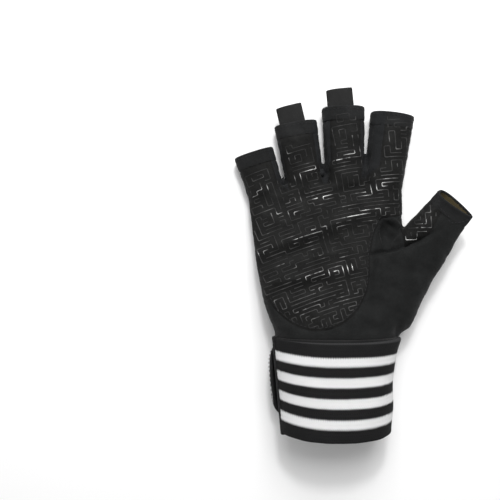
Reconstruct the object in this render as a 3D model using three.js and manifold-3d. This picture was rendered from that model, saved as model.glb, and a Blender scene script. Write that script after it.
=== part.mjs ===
// Right-hand weightlifting glove with open finger ends, a padded grip palm, a mesh back with a
// large oval opening, and a striped elastic wrist wrap.
// It lies on its back: the palm faces +Z, the fingers point along +Y and the thumb is on the +X side.
// The origin is the centre of the wrap's flat underside. Lengths are millimetres, angles degrees.

import * as THREE from "three";
import { mergeVertices } from "three/addons/utils/BufferGeometryUtils.js";
import Module from "manifold-3d";

const wasm = await Module();
wasm.setup();

// Driving dimensions of the cloth

const clothWall = 1.5; // palm, heel, thumb and back cloth
const liningWall = 1; // olive lining of the palm and the thumb
const seamGap = 0.3; // between two pieces of cloth that are sewn together
const bandProud = 0.3; // how far a folded finger end stands out of its sleeve

// Driving dimensions of the hand

const palmWidth = 102; // across the knuckles
const palmLength = 96; // from the cuff to the last section of the hand
const palmDepth = 36; // from the floor to the palm's surface at the wrist
const seamHeight = 9; // height of the side seam along the finger sleeves
const knuckleReach = 86; // from the cuff to the points that the finger axes pass through

// Driving dimensions of the finger and thumb sleeves

const fingerWidth = 28;
const fingerDepth = 19;
const fingerReach = 62; // middle finger, from its knuckle point to its mouth
const fingerRootTuck = 14; // how far a sleeve starts behind its knuckle point
const bandLength = 9; // folded end of a sleeve
const sideStripWidth = 8; // strip between two finger sleeves
const thumbWidth = 38; // at the ball of the thumb
const thumbDepth = 29;
const thumbMouthTurn = 16; // lean of the thumb's mouth towards the palm side, degrees

// Driving dimensions of the opening on the back

const openingWidth = 51; // inside its binding
const openingOffset = -6; // of its middle from the glove's middle line
const openingFromCuff = 20.5; // from the cuff to where it is widest
const openingFingerReach = 17; // from there to its end next to the fingers
const openingWristReach = 31; // the same oval towards the wrist, where the cuff cuts it off
const bindingWidth = 5.6;
const bindingDepth = 2.3;

// Driving dimensions of the wrist wrap

const wrapLength = 60; // along the forearm
const wrapWall = 2.2;
const wrapHandWidth = 83; // outer width at the end next to the hand
const wrapArmWidth = 72; // outer width at the forearm end
const wrapHandDepth = 42;
const wrapArmDepth = 46;
const wrapBow = 2.5; // how far the forearm edge bows out over the palm side
const cuffWall = 2;
const cuffPeek = 3; // of the cuff beyond the wrap, next to the hand
const startBindingWidth = 3.2;
const startBindingProud = 0.5;
const tabSeamX = -5; // where the striped band ends on the back and the tab starts
const tabLift = 3; // how far the stiff end of the tab stands off the cuff

// Driving dimensions of the pull tabs

const pullTabWidth = 15.4;
const pullTabReach = 10.5; // beyond the finger's mouth
const pullTabTuck = 7; // inside the finger's band
const pullTabSeat = 0.6; // clearance to the cloth that it is sewn to
const pullTabShift = 3; // of its middle from the finger's, towards the little finger
const pullTabTurn = 4; // its own turn towards the little finger, degrees
const pullTabWall = 1; // each of its two layers
const pullTabSlit = 0.6; // between its two layers

// Fineness of the faces

const handSides = 32;
const fingerSides = 22;
const thumbSides = 24;
const wrapSides = 40;
const overrun = 6; // how far a cutting body runs past what it cuts
const far = 160; // half the size of a cutting body that only has to be large

// Places that follow from the driving dimensions

const cuffEnd = wrapLength / 2 + cuffPeek;
const wristY = cuffEnd + seamGap;
const cuffInset = wrapWall + seamGap;

// Hand sections: reach along the palm, left and right edge as shares of palmWidth, top of the palm
// and underside as shares of palmDepth.
const handRows = [
  { reach: 0.16, left: -0.442, right: 0.422, top: 1.0, under: 0.045 },
  { reach: 0.32, left: -0.475, right: 0.436, top: 0.93, under: 0.022 },
  { reach: 0.5, left: -0.503, right: 0.444, top: 0.83, under: 0.008 },
  { reach: 0.68, left: -0.525, right: 0.448, top: 0.72, under: 0 },
  { reach: 0.84, left: -0.545, right: 0.448, top: 0.61, under: 0 },
  { reach: 0.95, left: -0.555, right: 0.44, top: 0.54, under: 0 },
  { reach: 1.0, left: -0.54, right: 0.41, top: 0.5, under: 0.04 },
];

// Finger sleeves: place of the knuckle point across the palm as a share of palmWidth, direction
// from +Y towards +X, reach, width and depth as shares of the finger dimensions.
const fingerRows = [
  { name: "little", across: -0.416, heading: -17.6, reach: 0.543, width: 0.96, depth: 0.92, tab: false },
  { name: "ring", across: -0.159, heading: -9.3, reach: 0.842, width: 1.02, depth: 0.98, tab: true },
  { name: "middle", across: 0.087, heading: -1.5, reach: 1.0, width: 1.02, depth: 1.0, tab: true },
  { name: "index", across: 0.315, heading: 8, reach: 0.935, width: 1.04, depth: 1.0, tab: false },
];

// Thumb sleeve sections: place across as a share of palmWidth, along as a share of palmLength from
// the cuff, rise as a share of palmDepth, direction and pitch, and sizes as shares of the thumb's.
const thumbRows = [
  { across: 0.299, along: 0.045, rise: 0.4, heading: 20, pitch: 0, width: 0.92, depth: 0.82 },
  { across: 0.338, along: 0.14, rise: 0.4, heading: 25, pitch: 0, width: 1.01, depth: 0.98 },
  { across: 0.388, along: 0.28, rise: 0.41, heading: 28, pitch: 3, width: 1.04, depth: 1.0 },
  { across: 0.475, along: 0.446, rise: 0.44, heading: 35, pitch: 8, width: 1.0, depth: 0.93 },
  { across: 0.585, along: 0.602, rise: 0.52, heading: 38, pitch: 15, width: 0.89, depth: 0.82 },
  { across: 0.672, along: 0.72, rise: 0.65, heading: 40, pitch: 21, width: 0.79, depth: 0.74 },
  { across: 0.752, along: 0.825, rise: 0.82, heading: 41.5, pitch: 25, width: 0.71, depth: 0.7 },
];

// Folds pressed into the palm side: a line from one place to another, both across and along as
// shares of palmWidth and palmLength, with its reach and depth as shares of palmDepth.
const foldRows = [
  { name: "palm hollow", fromX: -0.1, fromY: 0.3, toX: 0.02, toY: 0.62, reach: 0.55, depth: 0.075 },
  { name: "thumb crease", fromX: 0.25, fromY: 0.2, toX: 0.34, toY: 0.66, reach: 0.22, depth: 0.1 },
  { name: "web fold", fromX: 0.34, fromY: 0.66, toX: 0.46, toY: 0.6, reach: 0.16, depth: 0.14 },
  { name: "knuckle crease", fromX: -0.45, fromY: 0.78, toX: 0.35, toY: 0.98, reach: 0.16, depth: 0.05 },
];

// A closed geometry as a solid that can be joined and cut.
function solidOf(geometry) {
  const bare = new THREE.BufferGeometry();
  bare.setAttribute("position", geometry.getAttribute("position"));
  bare.setIndex(geometry.index);
  const merged = mergeVertices(bare, 1e-4);
  return new wasm.Manifold(
    new wasm.Mesh({
      numProp: 3,
      vertProperties: new Float32Array(merged.attributes.position.array),
      triVerts: new Uint32Array(merged.index.array),
    }),
  );
}

// A solid back as a three.js geometry, with faces too small to matter merged away.
function geometryOf(solid) {
  const mesh = solid.simplify(0.01).getMesh();
  const places = new Float32Array(mesh.numVert * 3);
  for (let i = 0; i < mesh.numVert; i++) {
    places.set(mesh.vertProperties.subarray(i * mesh.numProp, i * mesh.numProp + 3), i * 3);
  }
  const geometry = new THREE.BufferGeometry();
  geometry.setAttribute("position", new THREE.BufferAttribute(places, 3));
  geometry.setIndex(new THREE.BufferAttribute(mesh.triVerts, 1));
  const flat = geometry.toNonIndexed();
  flat.computeVertexNormals();
  return flat;
}

// Column values between the rows of a table, on a smooth curve through them.
function tableAt(rows, keys, at) {
  const place = THREE.MathUtils.clamp(at, 0, 1) * (rows.length - 1);
  const index = Math.min(Math.floor(place), rows.length - 2);
  const share = place - index;
  const row = (i) => rows[THREE.MathUtils.clamp(i, 0, rows.length - 1)];
  const values = {};
  for (const key of keys) {
    const [a, b, c, d] = [row(index - 1)[key], row(index)[key], row(index + 1)[key], row(index + 2)[key]];
    const slopeIn = (c - a) / 2;
    const slopeOut = (d - b) / 2;
    const rise = c - b;
    values[key] =
      b + share * (slopeIn + share * (3 * rise - 2 * slopeIn - slopeOut + share * (slopeIn + slopeOut - 2 * rise)));
  }
  return values;
}

// Power of a sine or cosine that keeps its sign: the outline is an oval with fuller corners.
const cornerFullness = 2.3;
function fuller(value) {
  return Math.sign(value) * Math.pow(Math.abs(value), 2 / cornerFullness);
}

// The three directions of a section that faces a heading in the floor's plane and a pitch above it.
function sectionAxes(heading, pitch) {
  const [h, p] = [heading, pitch].map(THREE.MathUtils.degToRad);
  return {
    along: new THREE.Vector3(Math.sin(h) * Math.cos(p), Math.cos(h) * Math.cos(p), Math.sin(p)),
    side: new THREE.Vector3(Math.cos(h), -Math.sin(h), 0),
    up: new THREE.Vector3(-Math.sin(h) * Math.sin(p), -Math.cos(h) * Math.sin(p), Math.cos(p)),
  };
}

// How far the folds press the palm side down at a place.
function foldDepth(x, y) {
  let depth = 0;
  for (const fold of foldRows) {
    const from = new THREE.Vector2(fold.fromX * palmWidth, wristY + fold.fromY * palmLength);
    const to = new THREE.Vector2(fold.toX * palmWidth, wristY + fold.toY * palmLength);
    const run = to.clone().sub(from);
    const place = new THREE.Vector2(x, y);
    const share = THREE.MathUtils.clamp(place.clone().sub(from).dot(run) / run.lengthSq(), 0, 1);
    const away = place.distanceTo(from.addScaledVector(run, share)) / (fold.reach * palmDepth);
    depth += fold.depth * palmDepth * Math.exp(-away * away);
  }
  return depth;
}

// A point of a section's outline, taken in by the inset and flattened where it meets the floor.
function sectionPoint(section, angle, inset) {
  const { side, up } = sectionAxes(section.heading, section.pitch);
  const point = section.centre.clone();
  point.addScaledVector(side, (section.halfWidth - inset) * fuller(Math.cos(angle)));
  point.addScaledVector(up, (section.halfDepth - inset) * fuller(Math.sin(angle)));
  point.z -= section.folded ? foldDepth(point.x, point.y) * Math.max(Math.sin(angle), 0) : 0;
  point.z = Math.max(point.z, section.floor + Math.max(inset, 0));
  return point;
}

// A closed body through the sections, all taken in by the inset.
function loft(sections, sides, inset) {
  const rings = sections.map((section) =>
    Array.from({ length: sides }, (_, i) => sectionPoint(section, (i / sides) * 2 * Math.PI, inset)),
  );
  const middles = [rings[0], rings[rings.length - 1]].map((ring) =>
    ring.reduce((sum, point) => sum.add(point), new THREE.Vector3()).divideScalar(sides),
  );
  const places = [...rings.flat(), ...middles].flatMap((point) => point.toArray());
  const faces = [];
  const last = (rings.length - 1) * sides;
  const startMiddle = rings.length * sides;
  for (let i = 0; i < sides; i++) {
    const j = (i + 1) % sides;
    for (let k = 0; k < last; k += sides) {
      faces.push(k + i, k + sides + i, k + sides + j, k + i, k + sides + j, k + j);
    }
    faces.push(startMiddle, i, j, startMiddle + 1, last + j, last + i);
  }
  const geometry = new THREE.BufferGeometry();
  geometry.setAttribute("position", new THREE.Float32BufferAttribute(places, 3));
  geometry.setIndex(faces);
  return solidOf(geometry);
}

// A section moved along its own direction, for a body that has to run past its end.
function movedOn(section, distance) {
  const centre = section.centre.clone();
  centre.addScaledVector(sectionAxes(section.heading, section.pitch).along, distance);
  return { ...section, centre };
}

// The wrap's own outline at a place along the forearm; cloth under it is taken in from this.
function wrapSection(y) {
  const share = THREE.MathUtils.clamp(0.5 - y / wrapLength, 0, 1);
  const depth = THREE.MathUtils.lerp(wrapHandDepth, wrapArmDepth, share);
  const halfDepth = depth * 0.52;
  return {
    centre: new THREE.Vector3(0, y, depth - halfDepth),
    heading: 0,
    pitch: 0,
    halfWidth: THREE.MathUtils.lerp(wrapHandWidth, wrapArmWidth, share) / 2,
    halfDepth,
    floor: 0,
  };
}

// The hand's sections; the first is the cuff's own outline, so the two are sewn edge to edge.
function handSections(count) {
  const cuff = wrapSection(wrapLength / 2);
  const start = {
    reach: 0,
    left: (cuffInset - cuff.halfWidth) / palmWidth,
    right: (cuff.halfWidth - cuffInset) / palmWidth,
    top: (wrapHandDepth - cuffInset) / palmDepth,
    under: cuffInset / palmDepth,
  };
  const rows = [start, ...handRows];
  return Array.from({ length: count }, (_, i) => {
    const row = tableAt(rows, ["reach", "left", "right", "top", "under"], i / (count - 1));
    const top = row.top * palmDepth;
    const under = Math.max(row.under, 0) * palmDepth;
    const halfDepth = (top - under) * 0.51;
    return {
      centre: new THREE.Vector3(
        ((row.left + row.right) / 2) * palmWidth,
        wristY + row.reach * palmLength,
        top - halfDepth,
      ),
      heading: 0,
      pitch: 0,
      halfWidth: ((row.right - row.left) / 2) * palmWidth,
      halfDepth,
      floor: under,
      folded: true,
    };
  });
}

// A finger's section at a distance from its knuckle point; behind that it narrows into the hand.
function fingerSection(finger, distance) {
  const { along } = sectionAxes(finger.heading, 0);
  const share = distance / (finger.reach * fingerReach);
  const tuck = THREE.MathUtils.smoothstep(-distance, 0, fingerRootTuck);
  const halfDepth = (finger.depth * fingerDepth * (1.06 - 0.06 * share) * (1 - 0.3 * tuck)) / 2;
  return {
    centre: new THREE.Vector3(
      finger.across * palmWidth + along.x * distance,
      wristY + knuckleReach + along.y * distance,
      seamHeight * finger.depth,
    ),
    heading: finger.heading,
    pitch: 0,
    halfWidth: (finger.width * fingerWidth * (1 - 0.02 * (1 - share)) * (1 - 0.3 * tuck)) / 2,
    halfDepth,
    floor: 0,
    folded: true,
  };
}

// The thumb's section at a share of its whole length.
function thumbSection(share) {
  const row = tableAt(thumbRows, ["across", "along", "rise", "heading", "pitch", "width", "depth"], share);
  const slant = thumbMouthTurn * THREE.MathUtils.smoothstep(share, 0.6, 1);
  return {
    centre: new THREE.Vector3(row.across * palmWidth, wristY + row.along * palmLength, row.rise * palmDepth),
    heading: row.heading,
    pitch: row.pitch + slant,
    halfWidth: (row.width * thumbWidth) / 2,
    halfDepth: (row.depth * thumbDepth) / 2,
    floor: 0,
    folded: share < 0.5,
  };
}

// The thumb's length along its middle line, and the share of it that is a distance from the mouth.
const thumbLength = Array.from({ length: 20 }, (_, i) =>
  thumbSection((i + 1) / 20).centre.distanceTo(thumbSection(i / 20).centre),
).reduce((sum, step) => sum + step, 0);
const thumbShare = (fromMouth) => 1 - fromMouth / thumbLength;

// All sleeves as functions of a distance to the mouth, so that cloth, band and lining agree.
const sleeves = [
  ...fingerRows.map((finger) => ({
    name: finger.name,
    sides: fingerSides,
    length: finger.reach * fingerReach + fingerRootTuck,
    steps: 4,
    at: (fromMouth) => fingerSection(finger, finger.reach * fingerReach - fromMouth),
  })),
  { name: "thumb", sides: thumbSides, length: thumbLength, steps: 8, at: (d) => thumbSection(thumbShare(d)) },
];

// A sleeve's body between two distances to its mouth.
function sleeveBody(sleeve, from, to, steps, inset, past) {
  const sections = Array.from({ length: steps + 1 }, (_, i) =>
    sleeve.at(THREE.MathUtils.lerp(from, to, i / steps)),
  );
  if (past.start) sections.unshift(movedOn(sections[0], -past.start));
  if (past.end) sections.push(movedOn(sections[sections.length - 1], past.end));
  return loft(sections, sleeve.sides, inset);
}

// The hand and some sleeves as one body, taken in by the inset; an open one runs out of each end.
function gloveBody(inset, open, withSleeves) {
  const hand = handSections(10);
  hand.push(movedOn(hand.pop(), -inset));
  if (open) hand.unshift(movedOn(hand[0], -overrun));
  const sleeveEnd = bandLength + seamGap;
  const past = { start: 0, end: open ? overrun : 0 };
  return withSleeves.reduce(
    (body, sleeve) => body.add(sleeveBody(sleeve, sleeve.length - inset, sleeveEnd, sleeve.steps, inset, past)),
    loft(hand, handSides, inset),
  );
}

// The largest of a solid's separate bodies, without the offcuts that a seam leaves.
function mainBody(solid) {
  return solid.decompose().reduce((largest, body) => (body.volume() > largest.volume() ? body : largest));
}

// A body that stands on a plan outline and is high enough to cut everything.
function planBody(shape) {
  const geometry = new THREE.ExtrudeGeometry(shape, { depth: 2 * far, bevelEnabled: false, curveSegments: 18 });
  return solidOf(geometry.translate(0, 0, -far));
}

// A plan outline from corners written as [x, y].
function planShape(corners) {
  return new THREE.Shape(corners.map(([x, y]) => new THREE.Vector2(x, y)));
}

// Everything above the side seam, moved up by the lift.
function aboveSeam(lift) {
  const hand = handSections(9).map((section) => [section.centre.y, section.centre.z]);
  const outline = [
    [-far, hand[0][1]],
    ...hand.slice(0, -1),
    [wristY + knuckleReach + fingerRootTuck, seamHeight],
    [far * 2, seamHeight],
  ].map(([y, z]) => [y, z + lift]);
  const shape = planShape([...outline, [far * 2, far], [-far, far]]);
  const geometry = new THREE.ExtrudeGeometry(shape, { depth: 2 * far, bevelEnabled: false });
  geometry.translate(0, 0, -far);
  const turn = new THREE.Matrix4().makeBasis(
    new THREE.Vector3(0, 1, 0),
    new THREE.Vector3(0, 0, 1),
    new THREE.Vector3(1, 0, 0),
  );
  return solidOf(geometry.applyMatrix4(turn));
}

// Plan of the grip palm: a tongue with a round lower end, open towards the fingers.
function gripShape(grow) {
  const [middleX, middleY] = [-0.13 * palmWidth, wristY + 0.43 * palmLength];
  const [radiusX, radiusY] = [0.345 * palmWidth + grow, 0.405 * palmLength + grow];
  const startAngle = THREE.MathUtils.degToRad(212);
  const webCorner = [0.308 * palmWidth + grow, wristY + 0.768 * palmLength - grow];
  const shape = new THREE.Shape();
  shape.moveTo(-far, middleY + radiusY * Math.sin(startAngle));
  shape.lineTo(middleX + radiusX * Math.cos(startAngle), middleY + radiusY * Math.sin(startAngle));
  shape.absellipse(middleX, middleY, radiusX, radiusY, startAngle, 2 * Math.PI, false);
  shape.quadraticCurveTo(middleX + radiusX, wristY + 0.62 * palmLength, webCorner[0], webCorner[1]);
  shape.lineTo(0.47 * palmWidth + grow, wristY + 0.79 * palmLength - grow);
  shape.lineTo(0.6 * palmWidth + grow, wristY + 0.93 * palmLength - grow);
  shape.lineTo(0.68 * palmWidth + grow, 2 * far);
  shape.lineTo(-far, 2 * far);
  return shape;
}

// Plan of the thumb cloth where it comes round to the back.
function thumbBackShape(grow) {
  return planShape([
    [0.36 * palmWidth - grow, wristY - overrun],
    [0.41 * palmWidth - grow, wristY + 0.3 * palmLength],
    [0.425 * palmWidth - grow, wristY + 0.74 * palmLength + grow],
    [0.62 * palmWidth, wristY + 0.95 * palmLength + grow],
    [far, wristY + 1.4 * palmLength],
    [far, wristY - overrun],
  ]);
}

// Plan of the grip patch along the inner side of the thumb, up to the line between thumb and hand.
function thumbGripShape(grow) {
  return planShape([
    [0.425 * palmWidth - grow, wristY + 0.6 * palmLength - grow],
    [0.51 * palmWidth + grow, wristY + 0.63 * palmLength - grow],
    [0.615 * palmWidth + grow, wristY + 0.77 * palmLength - grow],
    [0.655 * palmWidth + grow, wristY + 0.85 * palmLength - grow],
    [0.655 * palmWidth + grow, wristY + 1.05 * palmLength],
    [0.6 * palmWidth - grow, wristY + 0.95 * palmLength + grow],
    [0.47 * palmWidth - grow, wristY + 0.8 * palmLength + grow],
    [0.425 * palmWidth - grow, wristY + 0.75 * palmLength + grow],
  ]);
}

// Plan of the strip between two neighbouring fingers, from their crotch to their bands.
function stripShape(near, next, grow) {
  const mouths = [near, next].map((finger) => fingerSection(finger, finger.reach * fingerReach + overrun).centre);
  const roots = [near, next].map((finger) => fingerSection(finger, fingerRootTuck * 0.4).centre);
  const start = roots[0].clone().lerp(roots[1], 0.5);
  const half = fingerWidth * 0.14 + grow;
  return planShape([
    [start.x - half, start.y - grow],
    [start.x + half, start.y - grow],
    [mouths[1].x, mouths[1].y],
    [mouths[0].x, mouths[0].y],
  ]);
}

// Plan of the opening on the back, an egg-shaped oval, let out by a distance.
function openingShape(grow) {
  const [x, y] = [openingOffset, wristY + openingFromCuff];
  const radiusX = openingWidth / 2 + grow;
  const shape = new THREE.Shape();
  shape.moveTo(x + radiusX, y);
  shape.absellipse(x, y, radiusX, openingFingerReach + grow, 0, Math.PI, false);
  shape.absellipse(x, y, radiusX, openingWristReach + grow, Math.PI, 2 * Math.PI, false);
  return shape;
}

// Cloth of the glove, cut into its pieces

const shell = gloveBody(0, false, sleeves).subtract(gloveBody(clothWall, true, sleeves));
const above = aboveSeam(seamGap / 2);
const below = planBody(planShape([[-far, -far], [far, -far], [far, 2 * far], [-far, 2 * far]])).subtract(
  aboveSeam(-seamGap / 2),
);

const stripPairs = [0, 1, 2].map((i) => [fingerRows[i], fingerRows[i + 1]]);
const stripZone = ([near, next], grow) =>
  planBody(stripShape(near, next, grow))
    .intersect(aboveSeam(-sideStripWidth / 2 - grow))
    .subtract(aboveSeam(sideStripWidth / 2 + grow));
const stripZones = stripPairs.map((pair) => stripZone(pair, seamGap)).reduce((all, zone) => all.add(zone));
const thumbGripZone = planBody(thumbGripShape(seamGap));

const palmGrip = mainBody(shell.intersect(planBody(gripShape(0))).intersect(above).subtract(stripZones));
const thumbPanel = mainBody(shell
  .intersect(above.subtract(planBody(gripShape(seamGap))).add(planBody(thumbBackShape(0))))
  .subtract(planBody(gripShape(seamGap)).intersect(above))
  .subtract(thumbGripZone));
const thumbGrip = mainBody(shell.intersect(planBody(thumbGripShape(0))).subtract(planBody(gripShape(seamGap))));
const backMesh = mainBody(shell
  .intersect(below)
  .subtract(planBody(thumbBackShape(seamGap)))
  .subtract(planBody(openingShape(bindingWidth + seamGap)))
  .subtract(stripZones)
  .subtract(thumbGripZone));
const sideStrips = stripPairs.map((pair) => mainBody(shell.intersect(stripZone(pair, 0))));

const liningInset = clothWall + seamGap;
const linedSleeves = sleeves.filter((sleeve) => sleeve.name === "thumb");
const liningShell = gloveBody(liningInset, false, linedSleeves).subtract(
  gloveBody(liningInset + liningWall, true, linedSleeves),
);
const liningEnd = wristY + 0.84 * palmLength;
const palmLining = mainBody(
  liningShell
    .intersect(above.add(planBody(thumbBackShape(0))))
    .subtract(planBody(planShape([[-far, liningEnd], [0.5 * palmWidth, liningEnd], [0.5 * palmWidth, far * 2], [-far, far * 2]]))),
);

// A finger's folded end band: a short tube that goes on where the sleeve's cloth stops.
function endBand(sleeve) {
  const body = sleeveBody(sleeve, bandLength, 0, 1, -bandProud, { start: 0, end: 0 });
  return body.subtract(sleeveBody(sleeve, bandLength, 0, 1, clothWall, { start: overrun, end: overrun }));
}

// Part of a tube between two angles round the wrap's outline and two insets from it. The forearm
// edge bows out over the palm side. A rounded piece narrows, and stands off by the lift, at its end.
function wrapPiece({ fromAngle, toAngle, outerInset, innerInset, fromY, toY, bow, sides, rounded, lift }) {
  const rows = 4;
  const point = (i, k, inset) => {
    const share = i / sides;
    const angle = THREE.MathUtils.lerp(fromAngle, toAngle, share);
    const keep = rounded ? Math.sqrt(Math.max(1 - Math.pow(Math.max((share - rounded) / (1 - rounded), 0), 2), 0.16)) : 1;
    const middle = (fromY + toY) / 2;
    const y = middle + (THREE.MathUtils.lerp(fromY, toY, k / rows) - middle) * keep;
    const off = lift ? lift * THREE.MathUtils.smoothstep(share, 0.5, 1) : 0;
    const place = sectionPoint(wrapSection(y), angle, inset - off);
    const over = Math.max(Math.sin(angle), 0);
    place.y -= bow * over * over * (1 - k / rows);
    return place;
  };
  const grids = [outerInset, innerInset].map((inset) =>
    Array.from({ length: sides + 1 }, (_, i) => Array.from({ length: rows + 1 }, (_, k) => point(i, k, inset))),
  );
  const places = grids.flat(2).flatMap((p) => p.toArray());
  const layer = (sides + 1) * (rows + 1);
  const index = (g, i, k) => g * layer + i * (rows + 1) + k;
  const faces = [];
  const quad = (a, b, c, d) => faces.push(a, b, c, a, c, d);
  for (let i = 0; i < sides; i++) {
    for (let k = 0; k < rows; k++) {
      quad(index(0, i, k), index(0, i + 1, k), index(0, i + 1, k + 1), index(0, i, k + 1));
      quad(index(1, i, k), index(1, i, k + 1), index(1, i + 1, k + 1), index(1, i + 1, k));
    }
    quad(index(0, i, 0), index(1, i, 0), index(1, i + 1, 0), index(0, i + 1, 0));
    quad(index(0, i, rows), index(0, i + 1, rows), index(1, i + 1, rows), index(1, i, rows));
  }
  for (let k = 0; k < rows; k++) {
    quad(index(0, 0, k), index(0, 0, k + 1), index(1, 0, k + 1), index(1, 0, k));
    quad(index(0, sides, k), index(1, sides, k), index(1, sides, k + 1), index(0, sides, k + 1));
  }
  const geometry = new THREE.BufferGeometry();
  geometry.setAttribute("position", new THREE.Float32BufferAttribute(places, 3));
  geometry.setIndex(faces);
  return solidOf(geometry);
}

// Angle round the wrap's outline at which its underside reaches a place across.
function underAngle(x) {
  const section = wrapSection(0);
  const share = Math.sign(x) * Math.pow(Math.abs(x) / section.halfWidth, cornerFullness / 2);
  return -Math.acos(share);
}

const degrees = THREE.MathUtils.degToRad;
const bandStart = degrees(163); // on the little-finger side, a little above the side seam
const tabEnd = degrees(-182);
const tabSeam = underAngle(tabSeamX);
const wrapRadius = wrapHandWidth / 2;
const gapAngle = seamGap / wrapRadius;
const wrapEdges = { fromY: -wrapLength / 2, toY: wrapLength / 2, bow: wrapBow, innerInset: wrapWall };

const stripedBand = wrapPiece({ ...wrapEdges, fromAngle: bandStart, toAngle: tabSeam, outerInset: 0, sides: wrapSides });
const startBinding = wrapPiece({
  ...wrapEdges,
  fromAngle: bandStart + startBindingWidth / wrapRadius + gapAngle,
  toAngle: bandStart + gapAngle,
  outerInset: -startBindingProud,
  sides: 2,
});
const fastenerTab = wrapPiece({
  ...wrapEdges,
  bow: 0,
  fromAngle: tabSeam - gapAngle,
  toAngle: tabEnd,
  outerInset: 0,
  sides: 16,
  rounded: 0.6,
  lift: tabLift,
});

// The cuff under the wrap, a closed tube that the hand's cloth is sewn to.
function cuffBody() {
  const ends = [-wrapLength / 2 + 1, cuffEnd];
  const sections = [0, 0.5, 1].map((share) => {
    const y = THREE.MathUtils.lerp(ends[0], ends[1], share);
    return { ...wrapSection(y), centre: wrapSection(y).centre };
  });
  const outer = loft(sections, wrapSides, cuffInset);
  const open = [movedOn(sections[0], -overrun), ...sections, movedOn(sections[2], overrun)];
  return outer.subtract(loft(open, wrapSides, cuffInset + cuffWall));
}

// The binding round the opening: a band of thicker cloth that ends at the cuff on both sides.
function openingBinding() {
  const hand = handSections(10);
  const open = [movedOn(hand[0], -overrun), ...hand];
  const ring = planBody(openingShape(bindingWidth)).subtract(planBody(openingShape(0)));
  return loft(hand, handSides, 0).subtract(loft(open, handSides, bindingDepth)).intersect(below).intersect(ring);
}

// A pull tab: a ribbon folded in two, sewn to the inside of the palm cloth at a finger's mouth. Its
// folded profile is swept round the sleeve's own inner outline, from one edge to the other.
function pullTab(finger) {
  const mouth = fingerSection(finger, finger.reach * fingerReach);
  const section = { ...mouth, heading: mouth.heading - pullTabTurn, folded: false };
  const seat = clothWall + pullTabSeat;
  const thick = 2 * pullTabWall + pullTabSlit;
  const profile = [
    [-pullTabTuck, 0],
    [pullTabReach, 0],
    [pullTabReach, thick],
    [-pullTabTuck, thick],
    [-pullTabTuck, thick - pullTabWall],
    [pullTabReach - pullTabWall, thick - pullTabWall],
    [pullTabReach - pullTabWall, pullTabWall],
    [-pullTabTuck, pullTabWall],
  ];
  const steps = 5;
  const places = [];
  for (let i = 0; i <= steps; i++) {
    const across = (i / steps - 0.5) * pullTabWidth - pullTabShift;
    const share = across / (mouth.halfWidth - seat);
    const angle = Math.acos(Math.sign(share) * Math.pow(Math.abs(share), cornerFullness / 2));
    for (const [along, depth] of profile) {
      places.push(...sectionPoint(movedOn(section, along), angle, seat + depth).toArray());
    }
  }
  const count = profile.length;
  const faces = [];
  for (let i = 0; i < steps * count; i += count) {
    for (let k = 0; k < count; k++) {
      const next = (k + 1) % count;
      faces.push(i + k, i + count + k, i + count + next, i + k, i + count + next, i + next);
    }
  }
  const last = steps * count;
  for (const [a, b, c] of THREE.ShapeUtils.triangulateShape(profile.map(([x, y]) => new THREE.Vector2(x, y)), [])) {
    faces.push(a, b, c, last + a, last + c, last + b);
  }
  const geometry = new THREE.BufferGeometry();
  geometry.setAttribute("position", new THREE.Float32BufferAttribute(places, 3));
  geometry.setIndex(faces);
  return solidOf(geometry);
}

// The scene graph: one named mesh for each piece

const cloth = {
  grip: new THREE.MeshStandardMaterial({ color: 0x1b1b1a, roughness: 0.62 }),
  smooth: new THREE.MeshStandardMaterial({ color: 0x202223, roughness: 0.85 }),
  mesh: new THREE.MeshStandardMaterial({ color: 0x16181a, roughness: 0.9 }),
  binding: new THREE.MeshStandardMaterial({ color: 0x1c1d20, roughness: 0.8 }),
  lining: new THREE.MeshStandardMaterial({ color: 0x4a4028, roughness: 0.9 }),
  elastic: new THREE.MeshStandardMaterial({ color: 0xd9d9d7, roughness: 0.75 }),
  webbing: new THREE.MeshStandardMaterial({ color: 0x1f1f20, roughness: 0.8 }),
};

const glove = new THREE.Group();

function addPiece(name, solid, material) {
  const mesh = new THREE.Mesh(geometryOf(solid), material);
  mesh.name = name;
  glove.add(mesh);
}

addPiece("palm_grip", palmGrip, cloth.grip);
addPiece("thumb_panel", thumbPanel, cloth.smooth);
addPiece("thumb_grip", thumbGrip, cloth.grip);
addPiece("back_mesh", backMesh, cloth.mesh);
stripPairs.forEach(([near, next], i) => addPiece(`side_strip_${near.name}_${next.name}`, sideStrips[i], cloth.smooth));
sleeves.forEach((sleeve) => addPiece(`end_band_${sleeve.name}`, endBand(sleeve), cloth.smooth));
fingerRows.filter((finger) => finger.tab).forEach((finger) =>
  addPiece(`pull_tab_${finger.name}`, pullTab(finger), cloth.webbing),
);
addPiece("palm_lining", palmLining, cloth.lining);
addPiece("opening_binding", openingBinding(), cloth.binding);
addPiece("wrist_cuff", cuffBody(), cloth.webbing);
addPiece("wrap_band", stripedBand, cloth.elastic);
addPiece("wrap_start_binding", startBinding, cloth.binding);
addPiece("wrap_tab", fastenerTab, cloth.webbing);

export default glove;
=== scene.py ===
"""The visible surfaces of a weightlifting glove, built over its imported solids.

The glove lies on its back with the palm up: fingers along +Y, thumb on the +X side. Sizes are in
millimetres, as in the part's source, until a mesh is made, and they have the same names there.
"""

from __future__ import annotations

import logging
import math
from collections.abc import Callable, Mapping, Sequence
from dataclasses import dataclass, replace
from enum import Enum
from functools import cache, partial

import bmesh
import bpy
import numpy as np
from mathutils import Matrix, Vector
from mathutils.bvhtree import BVHTree
from mathutils.kdtree import KDTree

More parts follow.
